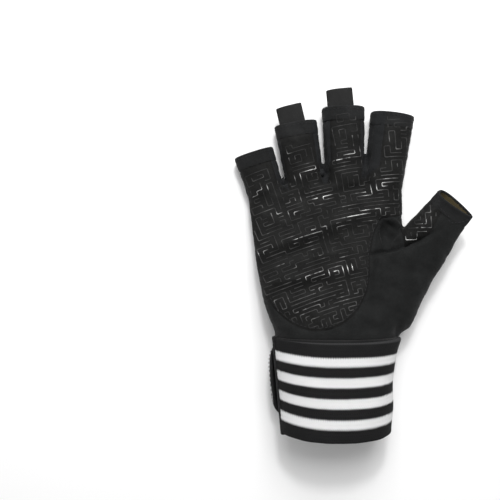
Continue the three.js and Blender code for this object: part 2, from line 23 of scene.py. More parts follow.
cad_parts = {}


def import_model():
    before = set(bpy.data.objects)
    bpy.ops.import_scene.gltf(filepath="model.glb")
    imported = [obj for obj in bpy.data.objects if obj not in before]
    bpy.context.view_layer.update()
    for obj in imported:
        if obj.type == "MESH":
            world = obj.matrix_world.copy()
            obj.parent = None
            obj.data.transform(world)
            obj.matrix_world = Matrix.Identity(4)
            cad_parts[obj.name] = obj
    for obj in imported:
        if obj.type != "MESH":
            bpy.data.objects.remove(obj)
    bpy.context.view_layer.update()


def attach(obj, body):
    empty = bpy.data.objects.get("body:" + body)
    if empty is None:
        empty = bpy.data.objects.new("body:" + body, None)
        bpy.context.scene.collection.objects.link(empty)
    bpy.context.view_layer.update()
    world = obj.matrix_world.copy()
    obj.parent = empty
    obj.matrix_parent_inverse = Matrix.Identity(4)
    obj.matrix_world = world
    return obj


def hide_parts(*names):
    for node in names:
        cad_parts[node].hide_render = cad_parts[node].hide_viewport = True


LOG = logging.getLogger("glove")
MM = 0.001
FAR = 320.0
Array = np.ndarray
Field = Callable[[Array], Array]
Pair = tuple[float, float]
Triple = tuple[float, float, float]
Hit = tuple[Vector | None, Vector | None]
Mesh = bpy.types.Mesh
Material = bpy.types.Material
Node = bpy.types.Node
Piece = bpy.types.Object
Socket = bpy.types.NodeSocket
NodeTree = bpy.types.NodeTree
Outputs = bpy.types.NodeOutputs


class Slot(Enum):
    """The record's material slots."""

    GRIP = "grip_cloth"
    SMOOTH = "smooth_cloth"
    MESH = "mesh_cloth"
    BINDING = "edge_binding"
    LINING = "olive_lining"
    ELASTIC = "striped_elastic"
    WEBBING = "black_webbing"
    FASTENER = "fastener_cloth"


class Panel(Enum):
    """Pieces that are cut from the glove's skin, by the name of the CAD node each stands for."""

    PALM_GRIP = "palm_grip"
    THUMB_PANEL = "thumb_panel"
    THUMB_GRIP = "thumb_grip"
    BACK_MESH = "back_mesh"
    STRIP_LITTLE_RING = "side_strip_little_ring"
    STRIP_RING_MIDDLE = "side_strip_ring_middle"
    STRIP_MIDDLE_INDEX = "side_strip_middle_index"
    BAND_LITTLE = "end_band_little"
    BAND_RING = "end_band_ring"
    BAND_MIDDLE = "end_band_middle"
    BAND_INDEX = "end_band_index"
    BAND_THUMB = "end_band_thumb"
    OPENING_BINDING = "opening_binding"
    WASTE = "waste"

    @property
    def number(self) -> int:
        """The panel's number, in the order above."""
        return list(Panel).index(self)


STRIPS = (Panel.STRIP_LITTLE_RING, Panel.STRIP_RING_MIDDLE, Panel.STRIP_MIDDLE_INDEX)
BANDS = (Panel.BAND_LITTLE, Panel.BAND_RING, Panel.BAND_MIDDLE, Panel.BAND_INDEX, Panel.BAND_THUMB)


@dataclass(frozen=True)
class GloveSizes:
    """Driving sizes of the glove, in millimetres and degrees.

    They are named as in the part's source, but for the last, which only the visible cloth has.
    """

    cloth_wall: float = 1.5
    lining_wall: float = 1.0
    seam_gap: float = 0.3
    palm_width: float = 102.0
    palm_length: float = 96.0
    palm_depth: float = 36.0
    seam_height: float = 9.0
    knuckle_reach: float = 86.0
    finger_width: float = 28.0
    finger_depth: float = 19.0
    finger_reach: float = 62.0
    finger_root_tuck: float = 14.0
    band_length: float = 9.0
    side_strip_width: float = 8.0
    thumb_width: float = 38.0
    thumb_depth: float = 29.0
    thumb_mouth_turn: float = 16.0
    opening_width: float = 51.0
    opening_offset: float = -6.0
    opening_from_cuff: float = 20.5
    opening_finger_reach: float = 17.0
    opening_wrist_reach: float = 31.0
    binding_width: float = 5.6
    binding_depth: float = 2.3
    wrap_length: float = 60.0
    wrap_wall: float = 2.2
    wrap_hand_width: float = 83.0
    wrap_arm_width: float = 72.0
    wrap_hand_depth: float = 42.0
    wrap_arm_depth: float = 46.0
    wrap_bow: float = 2.5
    cuff_wall: float = 2.0
    cuff_peek: float = 3.0
    start_binding_width: float = 3.2
    start_binding_proud: float = 0.5
    tab_seam_x: float = -5.0
    tab_lift: float = 3.0
    pull_tab_width: float = 17.0
    pull_tab_reach: float = 12.0
    pull_tab_tuck: float = 7.0
    pull_tab_wall: float = 0.9
    pull_tab_slit: float = 0.7
    pull_tab_seat: float = 0.6
    pull_tab_shift: float = 2.4
    pull_tab_turn: float = 4.0
    corner_fullness: float = 2.3
    cloth_overlap: float = 2.5

    @property
    def cuff_end(self) -> float:
        """How far the cuff reaches towards the hand."""
        return self.wrap_length / 2 + self.cuff_peek

    @property
    def wrist_y(self) -> float:
        """Where the hand's cloth starts."""
        return self.cuff_end + self.seam_gap

    @property
    def cuff_inset(self) -> float:
        """How far the cuff's outside lies under the wrap's outside."""
        return self.wrap_wall + self.seam_gap


SIZES = GloveSizes()

# Hand sections: reach, left, right, top and under, as shares of the hand's sizes.
HAND_ROWS = (
    (0.16, -0.442, 0.422, 1.0, 0.045),
    (0.32, -0.475, 0.436, 0.93, 0.022),
    (0.5, -0.503, 0.444, 0.83, 0.008),
    (0.68, -0.525, 0.448, 0.72, 0.0),
    (0.84, -0.545, 0.456, 0.61, 0.0),
    (0.95, -0.555, 0.452, 0.54, 0.0),
    (1.0, -0.54, 0.42, 0.5, 0.04),
)

# Thumb sections: across, along, rise, heading, pitch, width and depth.
THUMB_ROWS = (
    (0.299, 0.045, 0.4, 20.0, 0.0, 0.92, 0.82),
    (0.338, 0.14, 0.4, 25.0, 0.0, 1.01, 0.98),
    (0.388, 0.28, 0.41, 28.0, 3.0, 1.04, 1.0),
    (0.475, 0.446, 0.44, 35.0, 8.0, 1.0, 0.93),
    (0.585, 0.602, 0.52, 38.0, 15.0, 0.89, 0.82),
    (0.665, 0.727, 0.65, 40.0, 21.0, 0.8, 0.74),
    (0.74, 0.838, 0.8, 41.5, 25.0, 0.74, 0.7),
)

# Folds pressed into the palm side: from x, y to x, y, reach and depth.
FOLD_ROWS = (
    (-0.1, 0.3, 0.02, 0.62, 0.55, 0.075),
    (0.25, 0.2, 0.34, 0.66, 0.22, 0.1),
    (0.34, 0.66, 0.46, 0.6, 0.16, 0.14),
    (-0.45, 0.78, 0.35, 0.98, 0.16, 0.05),
)


@dataclass(frozen=True)
class FingerRow:
    """One finger sleeve, in shares of the finger sizes."""

    name: str
    across: float
    heading: float
    reach: float
    width: float
    depth: float
    tab: bool
    waist: float


FINGER_ROWS = (
    FingerRow("little", -0.416, -17.6, 0.543, 0.96, 0.92, False, 0.07),
    FingerRow("ring", -0.159, -9.3, 0.842, 1.02, 0.98, True, 0.14),
    FingerRow("middle", 0.087, -1.5, 1.0, 1.02, 1.0, True, 0.115),
    FingerRow("index", 0.32, 7.5, 0.935, 1.04, 1.0, False, 0.15),
)


@dataclass(frozen=True)
class StripSeam:
    """A seam on a finger's palm side, where a plain side strip comes round from its side."""

    finger: int
    side: int
    inset: float
    crotch: Pair


STRIP_SEAMS = (
    StripSeam(0, 1, 4.2, (-34.2, 125.5)),
    StripSeam(1, 1, 4.4, (-7.2, 137.0)),
    StripSeam(2, -1, 4.0, (-7.2, 137.0)),
    StripSeam(2, 1, 3.4, (22.0, 138.5)),
    StripSeam(3, -1, 8.6, (22.0, 134.0)),
)


def smoothstep(value: Array | float, low: float, high: float) -> Array | float:
    """Returns 0 below low, 1 above high and a smooth rise between them."""
    share = np.clip((value - low) / (high - low), 0.0, 1.0)
    return share * share * (3.0 - 2.0 * share)


def table_at(rows: Sequence[Sequence[float]], share: float) -> Array:
    """Reads a table on a smooth curve through its rows.

    Args:
        rows: The table, one sequence of numbers a row.
        share: 0 at the first row and 1 at the last.

    Returns:
        The values of all columns there.
    """
    table = np.asarray(rows, dtype=float)
    place = float(np.clip(share, 0.0, 1.0)) * (len(table) - 1)
    index = min(int(place), len(table) - 2)
    t = place - index
    before, start, end, after = (
        table[max(0, min(len(table) - 1, i))] for i in (index - 1, index, index + 1, index + 2)
    )
    slope_in = (end - before) / 2
    slope_out = (after - start) / 2
    rise = end - start
    bend = slope_in + slope_out - 2 * rise
    return start + t * (slope_in + t * (3 * rise - 2 * slope_in - slope_out + t * bend))


def line_distance(places: Array, start: Sequence[float], end: Sequence[float]) -> tuple[Array, Array]:
    """Measures plan distance to a straight line.

    Args:
        places: Points, of which x and y are used.
        start: One end of the line.
        end: Its other end.

    Returns:
        The distance of each point, and the share along the line of its nearest point.
    """
    run = np.asarray(end, float) - np.asarray(start, float)
    offset = places[:, :2] - np.asarray(start, float)
    share = np.clip(offset @ run / (run @ run), 0.0, 1.0)
    return np.linalg.norm(offset - share[:, None] * run, axis=1), share


def outline_distance(corners: Array, places: Array) -> Array:
    """Measures how far points lie outside a plan outline.

    Args:
        corners: The outline's corners in order.
        places: Points, of which x and y are used.

    Returns:
        Distances, negative inside the outline.
    """
    distance = np.full(len(places), np.inf)
    inside = np.zeros(len(places), bool)
    x, y = places[:, 0], places[:, 1]
    for start, end in zip(corners, np.roll(corners, -1, axis=0)):
        distance = np.minimum(distance, line_distance(places, start, end)[0])
        spans = (start[1] > y) != (end[1] > y)
        if spans.any():
            slope = (end[0] - start[0]) / (end[1] - start[1] + 1e-12)
            inside ^= spans & (x < start[0] + (y - start[1]) * slope)
    return np.where(inside, -distance, distance)


def bell(offset: Array) -> Array:
    """Returns 1 at no offset, falling off to both sides over about one unit."""
    return np.exp(-offset * offset)


def fuller(wave: Array) -> Array:
    """Returns a cosine or sine drawn out to an oval with fuller corners."""
    return np.sign(wave) * np.abs(wave) ** (2 / SIZES.corner_fullness)


def rounded(near: Array) -> Array:
    """Returns the share that a round edge has fallen away, from 0 inside it to 1 at its rim."""
    near = np.clip(near, 0, 1)
    return 1 - np.sqrt(1 - near * near)


def run_along(line: Array) -> Array:
    """Returns each point's distance along a line from its start."""
    return np.concatenate([[0], np.cumsum(np.linalg.norm(np.diff(line, axis=0), axis=1))])


def cast(tree: BVHTree, x: float, y: float, down: bool = True) -> Hit:
    """Returns where a plumb line at x and y first meets a surface, and the normal there."""
    way = -1 if down else 1
    return tree.ray_cast(Vector((x, y, -200 * way)), Vector((0, 0, way)))[:2]


class WaveNoise:
    """Smooth, seeded noise for cloth, made of plane waves in random directions."""

    waves = 14

    def __init__(self, seed: int, scale: float, stretch: Triple = (1, 1, 1)) -> None:
        """Draws the waves.

        Args:
            seed: Fixes the pattern.
            scale: Typical length of a swell.
            stretch: How much longer the swells are along X, Y and Z.
        """
        rng = np.random.default_rng(seed)
        heading = rng.normal(size=(self.waves, 3))
        heading /= np.linalg.norm(heading, axis=1, keepdims=True)
        pace = rng.uniform(0.6, 1.5, size=(self.waves, 1)) * 2 * math.pi / scale
        self.vectors = heading * pace / np.asarray(stretch)
        self.phases = rng.uniform(0, 2 * math.pi, size=self.waves)

    def at(self, places: Array) -> Array:
        """Returns values of about -1 to 1 at the places."""
        waves = np.sin(places @ self.vectors.T + self.phases)
        return waves.sum(axis=1) / math.sqrt(self.waves / 2) / 1.8


@dataclass(frozen=True)
class Section:
    """A cross-section: an oval with fuller corners that faces a heading and a pitch."""

    centre: Array
    heading: float
    pitch: float
    half_width: float
    half_depth: float
    floor: float = 0.0
    folded: bool = False

    def axes(self) -> tuple[Array, Array, Array]:
        """Returns the directions along the sleeve, to its side and up."""
        h, p = math.radians(self.heading), math.radians(self.pitch)
        along = np.array([math.sin(h) * math.cos(p), math.cos(h) * math.cos(p), math.sin(p)])
        side = np.array([math.cos(h), -math.sin(h), 0.0])
        up = np.array([-math.sin(h) * math.sin(p), -math.cos(h) * math.sin(p), math.cos(p)])
        return along, side, up

    def moved_on(self, distance: float) -> Section:
        """Returns the same section further along its own direction."""
        return replace(self, centre=self.centre + self.axes()[0] * distance)

    def outline(self, angles: Array, inset: float = 0.0) -> Array:
        """Places points on the outline.

        Args:
            angles: From the section's side, turning up.
            inset: How far the outline is taken in.

        Returns:
            One point for each angle.
        """
        _, side, up = self.axes()
        across = (self.half_width - inset) * fuller(np.cos(angles))
        rise = (self.half_depth - inset) * fuller(np.sin(angles))
        points = self.centre + across[:, None] * side + rise[:, None] * up
        if self.folded:
            points[:, 2] -= fold_depth(points) * np.maximum(np.sin(angles), 0)
        points[:, 2] = np.maximum(points[:, 2], self.floor + max(inset, 0.0))
        return points


def fold_depth(places: Array) -> Array:
    """Returns how far the main folds press the palm side down at each place."""
    depth = np.zeros(len(places))
    for from_x, from_y, to_x, to_y, reach, amount in FOLD_ROWS:
        start = (from_x * SIZES.palm_width, SIZES.wrist_y + from_y * SIZES.palm_length)
        end = (to_x * SIZES.palm_width, SIZES.wrist_y + to_y * SIZES.palm_length)
        away = line_distance(places, start, end)[0] / (reach * SIZES.palm_depth)
        depth += amount * SIZES.palm_depth * bell(away)
    return depth


@dataclass(frozen=True)
class Sleeve:
    """A finger's or the thumb's sleeve, as sections at a distance from its mouth."""

    name: str
    length: float
    at: Callable[[float], Section]


class GloveForm:
    """The glove's main form: sections of the wrap, the hand, the fingers and the thumb."""

    def __init__(self, sizes: GloveSizes) -> None:
        """Prepares the sleeves."""
        self.sizes = sizes
        steps = [self.thumb_section(i / 20).centre for i in range(21)]
        self.thumb_length = float(sum(np.linalg.norm(b - a) for a, b in zip(steps, steps[1:])))
        self.sleeves = [self._finger_sleeve(row) for row in FINGER_ROWS]
        self.sleeves.append(Sleeve("thumb", self.thumb_length, self._thumb_at))

    def _finger_sleeve(self, row: FingerRow) -> Sleeve:
        """Returns the sleeve of one finger row."""
        reach = row.reach * self.sizes.finger_reach
        length = reach + self.sizes.finger_root_tuck
        return Sleeve(row.name, length, lambda d: self.finger_section(row, reach - d))

    def _thumb_at(self, from_mouth: float) -> Section:
        """Returns the thumb's section at a distance from its mouth."""
        section = self.thumb_section(1 - from_mouth / self.thumb_length)
        return section.moved_on(-from_mouth) if from_mouth < 0 else section

    def wrap_reach(self, y: Array | float) -> tuple[Array, Array]:
        """Returns the wrap's depth and half its width at places along the forearm."""
        s = self.sizes
        share = np.clip(0.5 - y / s.wrap_length, 0, 1)
        depth = s.wrap_hand_depth + (s.wrap_arm_depth - s.wrap_hand_depth) * share
        return depth, (s.wrap_hand_width + (s.wrap_arm_width - s.wrap_hand_width) * share) / 2

    def wrap_section(self, y: float) -> Section:
        """Returns the wrap's own outline at a place along the forearm."""
        depth, half_width = self.wrap_reach(y)
        return Section(np.array([0, y, depth * 0.48]), 0, 0, half_width, depth * 0.52)

    def wrap_points(self, angles: Array, y: Array, inset: Array | float) -> Array:
        """Places points on the wrap's outline.

        Args:
            angles: Angle of each point, from the thumb side turning up over the palm.
            y: Place of each point along the forearm.
            inset: How far each point lies under the outline.

        Returns:
            The points, in the shape of the angles with x, y and z last.
        """
        depth, half_width = self.wrap_reach(y)
        x = (half_width - inset) * fuller(np.cos(angles))
        z = depth * 0.48 + (depth * 0.52 - inset) * fuller(np.sin(angles))
        return np.stack([x, y + 0 * x, np.maximum(z, np.maximum(inset, 0.0) + 0.3)], axis=-1)

    def under_angle(self, x: float) -> float:
        """Returns the angle at which the wrap's underside reaches a place across."""
        share = abs(x) / self.wrap_section(0).half_width
        return -math.acos(math.copysign(share ** (SIZES.corner_fullness / 2), x))

    def even_angles(self, start: float, end: float, step: float) -> Array:
        """Returns angles whose points lie about one step apart on the wrap's outline."""
        fine = np.linspace(start, end, 1600)
        run = run_along(self.wrap_points(fine, np.zeros(1600), 0.0))
        count = max(3, round(run[-1] / step) + 1)
        return np.interp(np.linspace(0, run[-1], count), run, fine)

    def hand_sections(self, count: int) -> list[Section]:
        """Returns sections of the hand from the cuff to the knuckles."""
        s = self.sizes
        cuff = self.wrap_section(s.wrap_length / 2)
        half = (cuff.half_width - s.cuff_inset) / s.palm_width
        top = (s.wrap_hand_depth - s.cuff_inset) / s.palm_depth
        rows = [(0.0, -half, half, top, s.cuff_inset / s.palm_depth), *HAND_ROWS]
        sections = []
        for i in range(count):
            reach, left, right, top, under = table_at(rows, i / (count - 1))
            high, low = top * s.palm_depth, max(under, 0) * s.palm_depth
            half_depth = (high - low) * 0.51
            half_width = (right - left) / 2 * s.palm_width
            middle = (left + right) / 2 * s.palm_width
            centre = np.array([middle, s.wrist_y + reach * s.palm_length, high - half_depth])
            sections.append(Section(centre, 0, 0, half_width, half_depth, low, True))
        return sections

    def finger_section(self, row: FingerRow, distance: float) -> Section:
        """Returns a finger's section at a distance from its knuckle point."""
        s = self.sizes
        share = distance / (row.reach * s.finger_reach)
        tuck = float(smoothstep(-distance, 0, s.finger_root_tuck))
        half_depth = row.depth * s.finger_depth * (1.06 - 0.06 * share) * (1 - 0.3 * tuck) / 2
        narrow = 1 - row.waist * min(1 - share, 1.0)
        half_width = row.width * s.finger_width * narrow * (1 - 0.3 * tuck) / 2
        heading = math.radians(row.heading)
        centre = np.array([
            row.across * s.palm_width + math.sin(heading) * distance,
            s.wrist_y + s.knuckle_reach + math.cos(heading) * distance,
            s.seam_height * row.depth,
        ])
        return Section(centre, row.heading, 0, half_width, half_depth, 0, True)

    def thumb_section(self, share: float) -> Section:
        """Returns the thumb's section at a share of its length."""
        s = self.sizes
        across, along, rise, heading, pitch, width, depth = table_at(THUMB_ROWS, share)
        turn = s.thumb_mouth_turn * float(smoothstep(share, 0.6, 1.0))
        centre = np.array([across * s.palm_width, s.wrist_y + along * s.palm_length, rise * s.palm_depth])
        half_width, half_depth = width * s.thumb_width / 2, depth * s.thumb_depth / 2
        return Section(centre, heading, pitch + turn, half_width, half_depth, 0, share < 0.5)

    def seam_level(self, places: Array) -> Array:
        """Returns the height of the side seam at each place."""
        s = self.sizes
        hand = self.hand_sections(9)[:-1]
        along = [section.centre[1] for section in hand] + [s.wrist_y + s.knuckle_reach + s.finger_root_tuck]
        level = [section.centre[2] for section in hand] + [s.seam_height]
        return np.interp(places[:, 1], along, level)


class PanelPlan:
    """Plan outlines of the panels, and the rule that says which panel a place belongs to."""

    def __init__(self, form: GloveForm) -> None:
        """Works out the outlines from the glove's main form."""
        self.form = form
        self.sizes = form.sizes
        self.grip = self._grip_outline()
        self.thumb_back = self._scaled([
            (0.36, -0.06), (0.41, 0.3), (0.425, 0.74), (0.62, 0.95), (2.0, 1.4), (2.0, -0.06),
        ])
        self.thumb_grip = self._scaled([
            (0.425, 0.58), (0.575, 0.645), (0.635, 0.78), (0.662, 0.85),
            (0.655, 1.05), (0.6, 0.95), (0.47, 0.8), (0.425, 0.75),
        ])
        self.strips = [self._strip_outline(a, b) for a, b in zip(FINGER_ROWS, FINGER_ROWS[1:])]
        self.mouths = [sleeve.at(0.0) for sleeve in form.sleeves]
        self.band_starts = [sleeve.at(self.sizes.band_length) for sleeve in form.sleeves]

    def _scaled(self, shares: Sequence[Pair]) -> Array:
        """Returns an outline given in shares of the palm's width and length."""
        s = self.sizes
        return np.array([(x * s.palm_width, s.wrist_y + y * s.palm_length) for x, y in shares])

    def _grip_outline(self) -> Array:
        """Returns the grip palm's tongue, open towards the fingers."""
        s = self.sizes
        middle = np.array([-0.13 * s.palm_width, s.wrist_y + 0.43 * s.palm_length])
        radius = np.array([0.345 * s.palm_width, 0.405 * s.palm_length])
        angles = np.radians(np.linspace(212, 360, 36))
        arc = middle + radius * np.stack([np.cos(angles), np.sin(angles)], axis=1)
        start, control, end = arc[-1], self._scaled([(0.215, 0.62)])[0], self._scaled([(0.308, 0.768)])[0]
        t = np.linspace(0, 1, 12)[1:, None]
        side = (1 - t) ** 2 * start + 2 * t * (1 - t) * control + t * t * end
        rest = self._scaled([(0.47, 0.79), (0.6, 0.93)])
        top = np.array([(0.68 * s.palm_width, FAR), (-FAR, FAR), (-FAR, arc[0][1])])
        return np.concatenate([arc, side, rest, top])

    def _strip_outline(self, near: FingerRow, far: FingerRow) -> Array:
        """Returns the plan of the strip between two neighbouring fingers."""
        s = self.sizes
        mouths = [self.form.finger_section(row, row.reach * s.finger_reach + 6).centre for row in (near, far)]
        roots = [self.form.finger_section(row, s.finger_root_tuck * 0.4).centre for row in (near, far)]
        start = (roots[0] + roots[1]) / 2
        half = s.finger_width * 0.14
        root = [(start[0] - half, start[1]), (start[0] + half, start[1])]
        return np.array([*root, mouths[1][:2], mouths[0][:2]])

    def opening(self, grow: float) -> Array:
        """Returns the oval opening on the back, let out by a distance."""
        s = self.sizes
        angles = np.linspace(0, 2 * math.pi, 64, endpoint=False)
        reach = np.where(np.sin(angles) > 0, s.opening_finger_reach, s.opening_wrist_reach) + grow
        x = s.opening_offset + (s.opening_width / 2 + grow) * np.cos(angles)
        y = s.wrist_y + s.opening_from_cuff + reach * np.sin(angles)
        return np.stack([x, y], axis=1)

    def above(self, places: Array) -> Array:
        """Returns how far each place lies above the side seam."""
        return places[:, 2] - self.form.seam_level(places)

    def past_wrist(self, places: Array) -> Array:
        """Returns how far each place lies past the line where the cloth is sewn to the cuff."""
        overlap = self.sizes.cloth_overlap + 0.5 * smoothstep(places[:, 0], 36.0, 40.0)
        return places[:, 1] - self.sizes.wrist_y + overlap

    def to_plane(self, section: Section, places: Array) -> Array:
        """Returns how far each place lies before a section's plane."""
        return (section.centre - places) @ section.axes()[0]

    def in_sleeve(self, index: int, places: Array) -> Array:
        """Says which places are in the outer part of a sleeve."""
        mouth = self.mouths[index]
        _, side, up = mouth.axes()
        offset = places - mouth.centre
        away = self.to_plane(mouth, places)
        near = (np.abs(offset @ side) < mouth.half_width + 1.6) & (np.abs(offset @ up) < mouth.half_depth + 6)
        return near & (away < 26) & (away > -8)

    def strip_seam(self, seam: StripSeam, places: Array) -> Array:
        """Returns how far places lie on the strip's side of a seam on a finger."""
        across, from_crotch = self._on_finger(seam, places)
        taper = np.maximum(8 - from_crotch, 0) * seam.inset / 8
        return across * seam.side - (self.mouths[seam.finger].half_width - seam.inset) - taper

    def near_strip(self, seam: StripSeam, places: Array) -> Array:
        """Says which places are on the finger of a seam, past its crotch and above the side seam."""
        across, from_crotch = self._on_finger(seam, places)
        on_finger = np.abs(across) < self.mouths[seam.finger].half_width + 1.2
        return on_finger & (from_crotch > -1) & (self.above(places) > 0)

    def _on_finger(self, seam: StripSeam, places: Array) -> tuple[Array, Array]:
        """Returns how far places lie across a seam's finger, and along it from its crotch."""
        mouth = self.mouths[seam.finger]
        along, side, _ = mouth.axes()
        return (places - mouth.centre) @ side, (places[:, :2] - np.asarray(seam.crotch)) @ along[:2]

    def on_strip(self, places: Array, room: float = 0.0) -> Array:
        """Says which places are on a plain strip, or nearer to it than some room."""
        found = np.zeros(len(places), bool)
        for seam in STRIP_SEAMS:
            found |= self.near_strip(seam, places) & (self.strip_seam(seam, places) > -room)
        return found

    def near_mouth(self, place: Array, bare: Sequence[float]) -> bool:
        """Says whether a place is on the bare end of a finger, by the length of each bare end."""
        return any(
            self.in_sleeve(i, place)[0] and self.to_plane(self.mouths[i], place)[0] < length
            for i, length in enumerate(bare)
        )

    def panel_of(self, places: Array) -> Array:
        """Returns the number of the panel that each place on the skin belongs to."""
        above = self.above(places) > 0
        grip = outline_distance(self.grip, places) < 0
        thumb = outline_distance(self.thumb_back, places) < 0
        patch = (outline_distance(self.thumb_grip, places) < 0) & ~grip
        level = np.abs(self.above(places)) < self.sizes.side_strip_width / 2
        result = np.full(len(places), Panel.BACK_MESH.number)
        result[above | thumb] = Panel.THUMB_PANEL.number
        result[grip & above] = Panel.PALM_GRIP.number
        result[patch] = Panel.THUMB_GRIP.number
        for outline, panel in zip(self.strips, STRIPS):
            result[(outline_distance(outline, places) < 0) & level] = panel.number
        back = result == Panel.BACK_MESH.number
        for grow, panel in ((self.sizes.binding_width, Panel.OPENING_BINDING), (0.0, Panel.WASTE)):
            result[back & (outline_distance(self.opening(grow), places) < 0)] = panel.number
        for i, panel in enumerate(BANDS):
            near = self.in_sleeve(i, places)
            result[near & (self.to_plane(self.band_starts[i], places) < 0)] = panel.number
            result[near & (self.to_plane(self.mouths[i], places) < 0)] = Panel.WASTE.number
        return result


@dataclass
class PanelCloth:
    """One panel's share of the skin: its outside, its normals and how far its edges are."""

    places: Array
    normals: Array
    faces: list[tuple[int, ...]]
    free_edge: Array
    strip: Array


# Folds and ridges on the cloth: from x, y to x, y, width and height.
PALM_CREASES = (
    (-50, 84, 26, 113.5, 3.4, 2.3), (-46, 77, 24, 103, 3.6, -1.6), (-42, 65, 12, 75, 3.0, 1.9),
    (-38, 58, 12, 67, 3.6, -1.2), (-20, 81, 22, 88, 3.4, 0.9), (-48, 96, -8, 108, 3.0, -0.9),
    (-44, 108, 30, 121, 3.4, 1.2), (-46, 116, 34, 130, 3.6, -1.1), (-30, 131, -12, 138, 3.0, 1.3),
    (0, 143, 17, 149, 3.0, 1.4), (24, 124, 38, 130, 3.2, 1.3), (-52, 122, -42, 127, 3.0, 1.1),
    (33, 104, 35, 88, 5.4, -3.4), (24, 83, 46, 89.5, 1.7, -2.4), (44, 89, 63, 96.4, 1.6, -2.9),
    (52.2, 98.9, 64.4, 113.3, 1.3, 1.1), (44, 94, 60, 102, 2.6, 1.7), (28, 104, 31, 90, 1.6, 1.3),
    (30, 84, 24, 62, 3.6, -1.6), (44, 103, 38, 96, 2.0, 1.2), (62, 104, 72, 116, 2.4, -0.9),
    (66, 92, 48, 70, 5.5, -1.0), (60, 66, 44, 40, 6.0, 1.1), (36, 78, 30, 54, 5.0, 1.0),
    (42, 48, 28, 38, 3.6, -1.0), (24, 35, 14, 44, 3.0, -1.0), (2, 35, -8, 41, 3.0, 0.9),
    (-20, 35, -30, 44, 3.2, -0.9), (-36, 38, -46, 56, 3.4, 0.9), (-34.0, 125.8, -33.2, 127.0, 3.6, -2.4),
    (-8.0, 137.2, -7.2, 138.4, 3.6, -2.4), (22.6, 151.0, 21.6, 141.0, 1.5, -3.6),
    (21.2, 138.6, 22.2, 139.4, 1.9, 1.6), (38, 107, 45, 101, 1.4, 1.3), (35, 104, 42, 98, 1.5, -1.3),
)
BACK_CREASES = (
    (24, 40, 36, 62, 3.4, -0.9), (30, 66, 42, 92, 3.0, 0.7), (-38, 44, -46, 70, 3.0, 0.7),
    (-46, 96, -20, 100, 4.0, 0.6), (-10, 96, 34, 92, 4.0, -0.6),
)


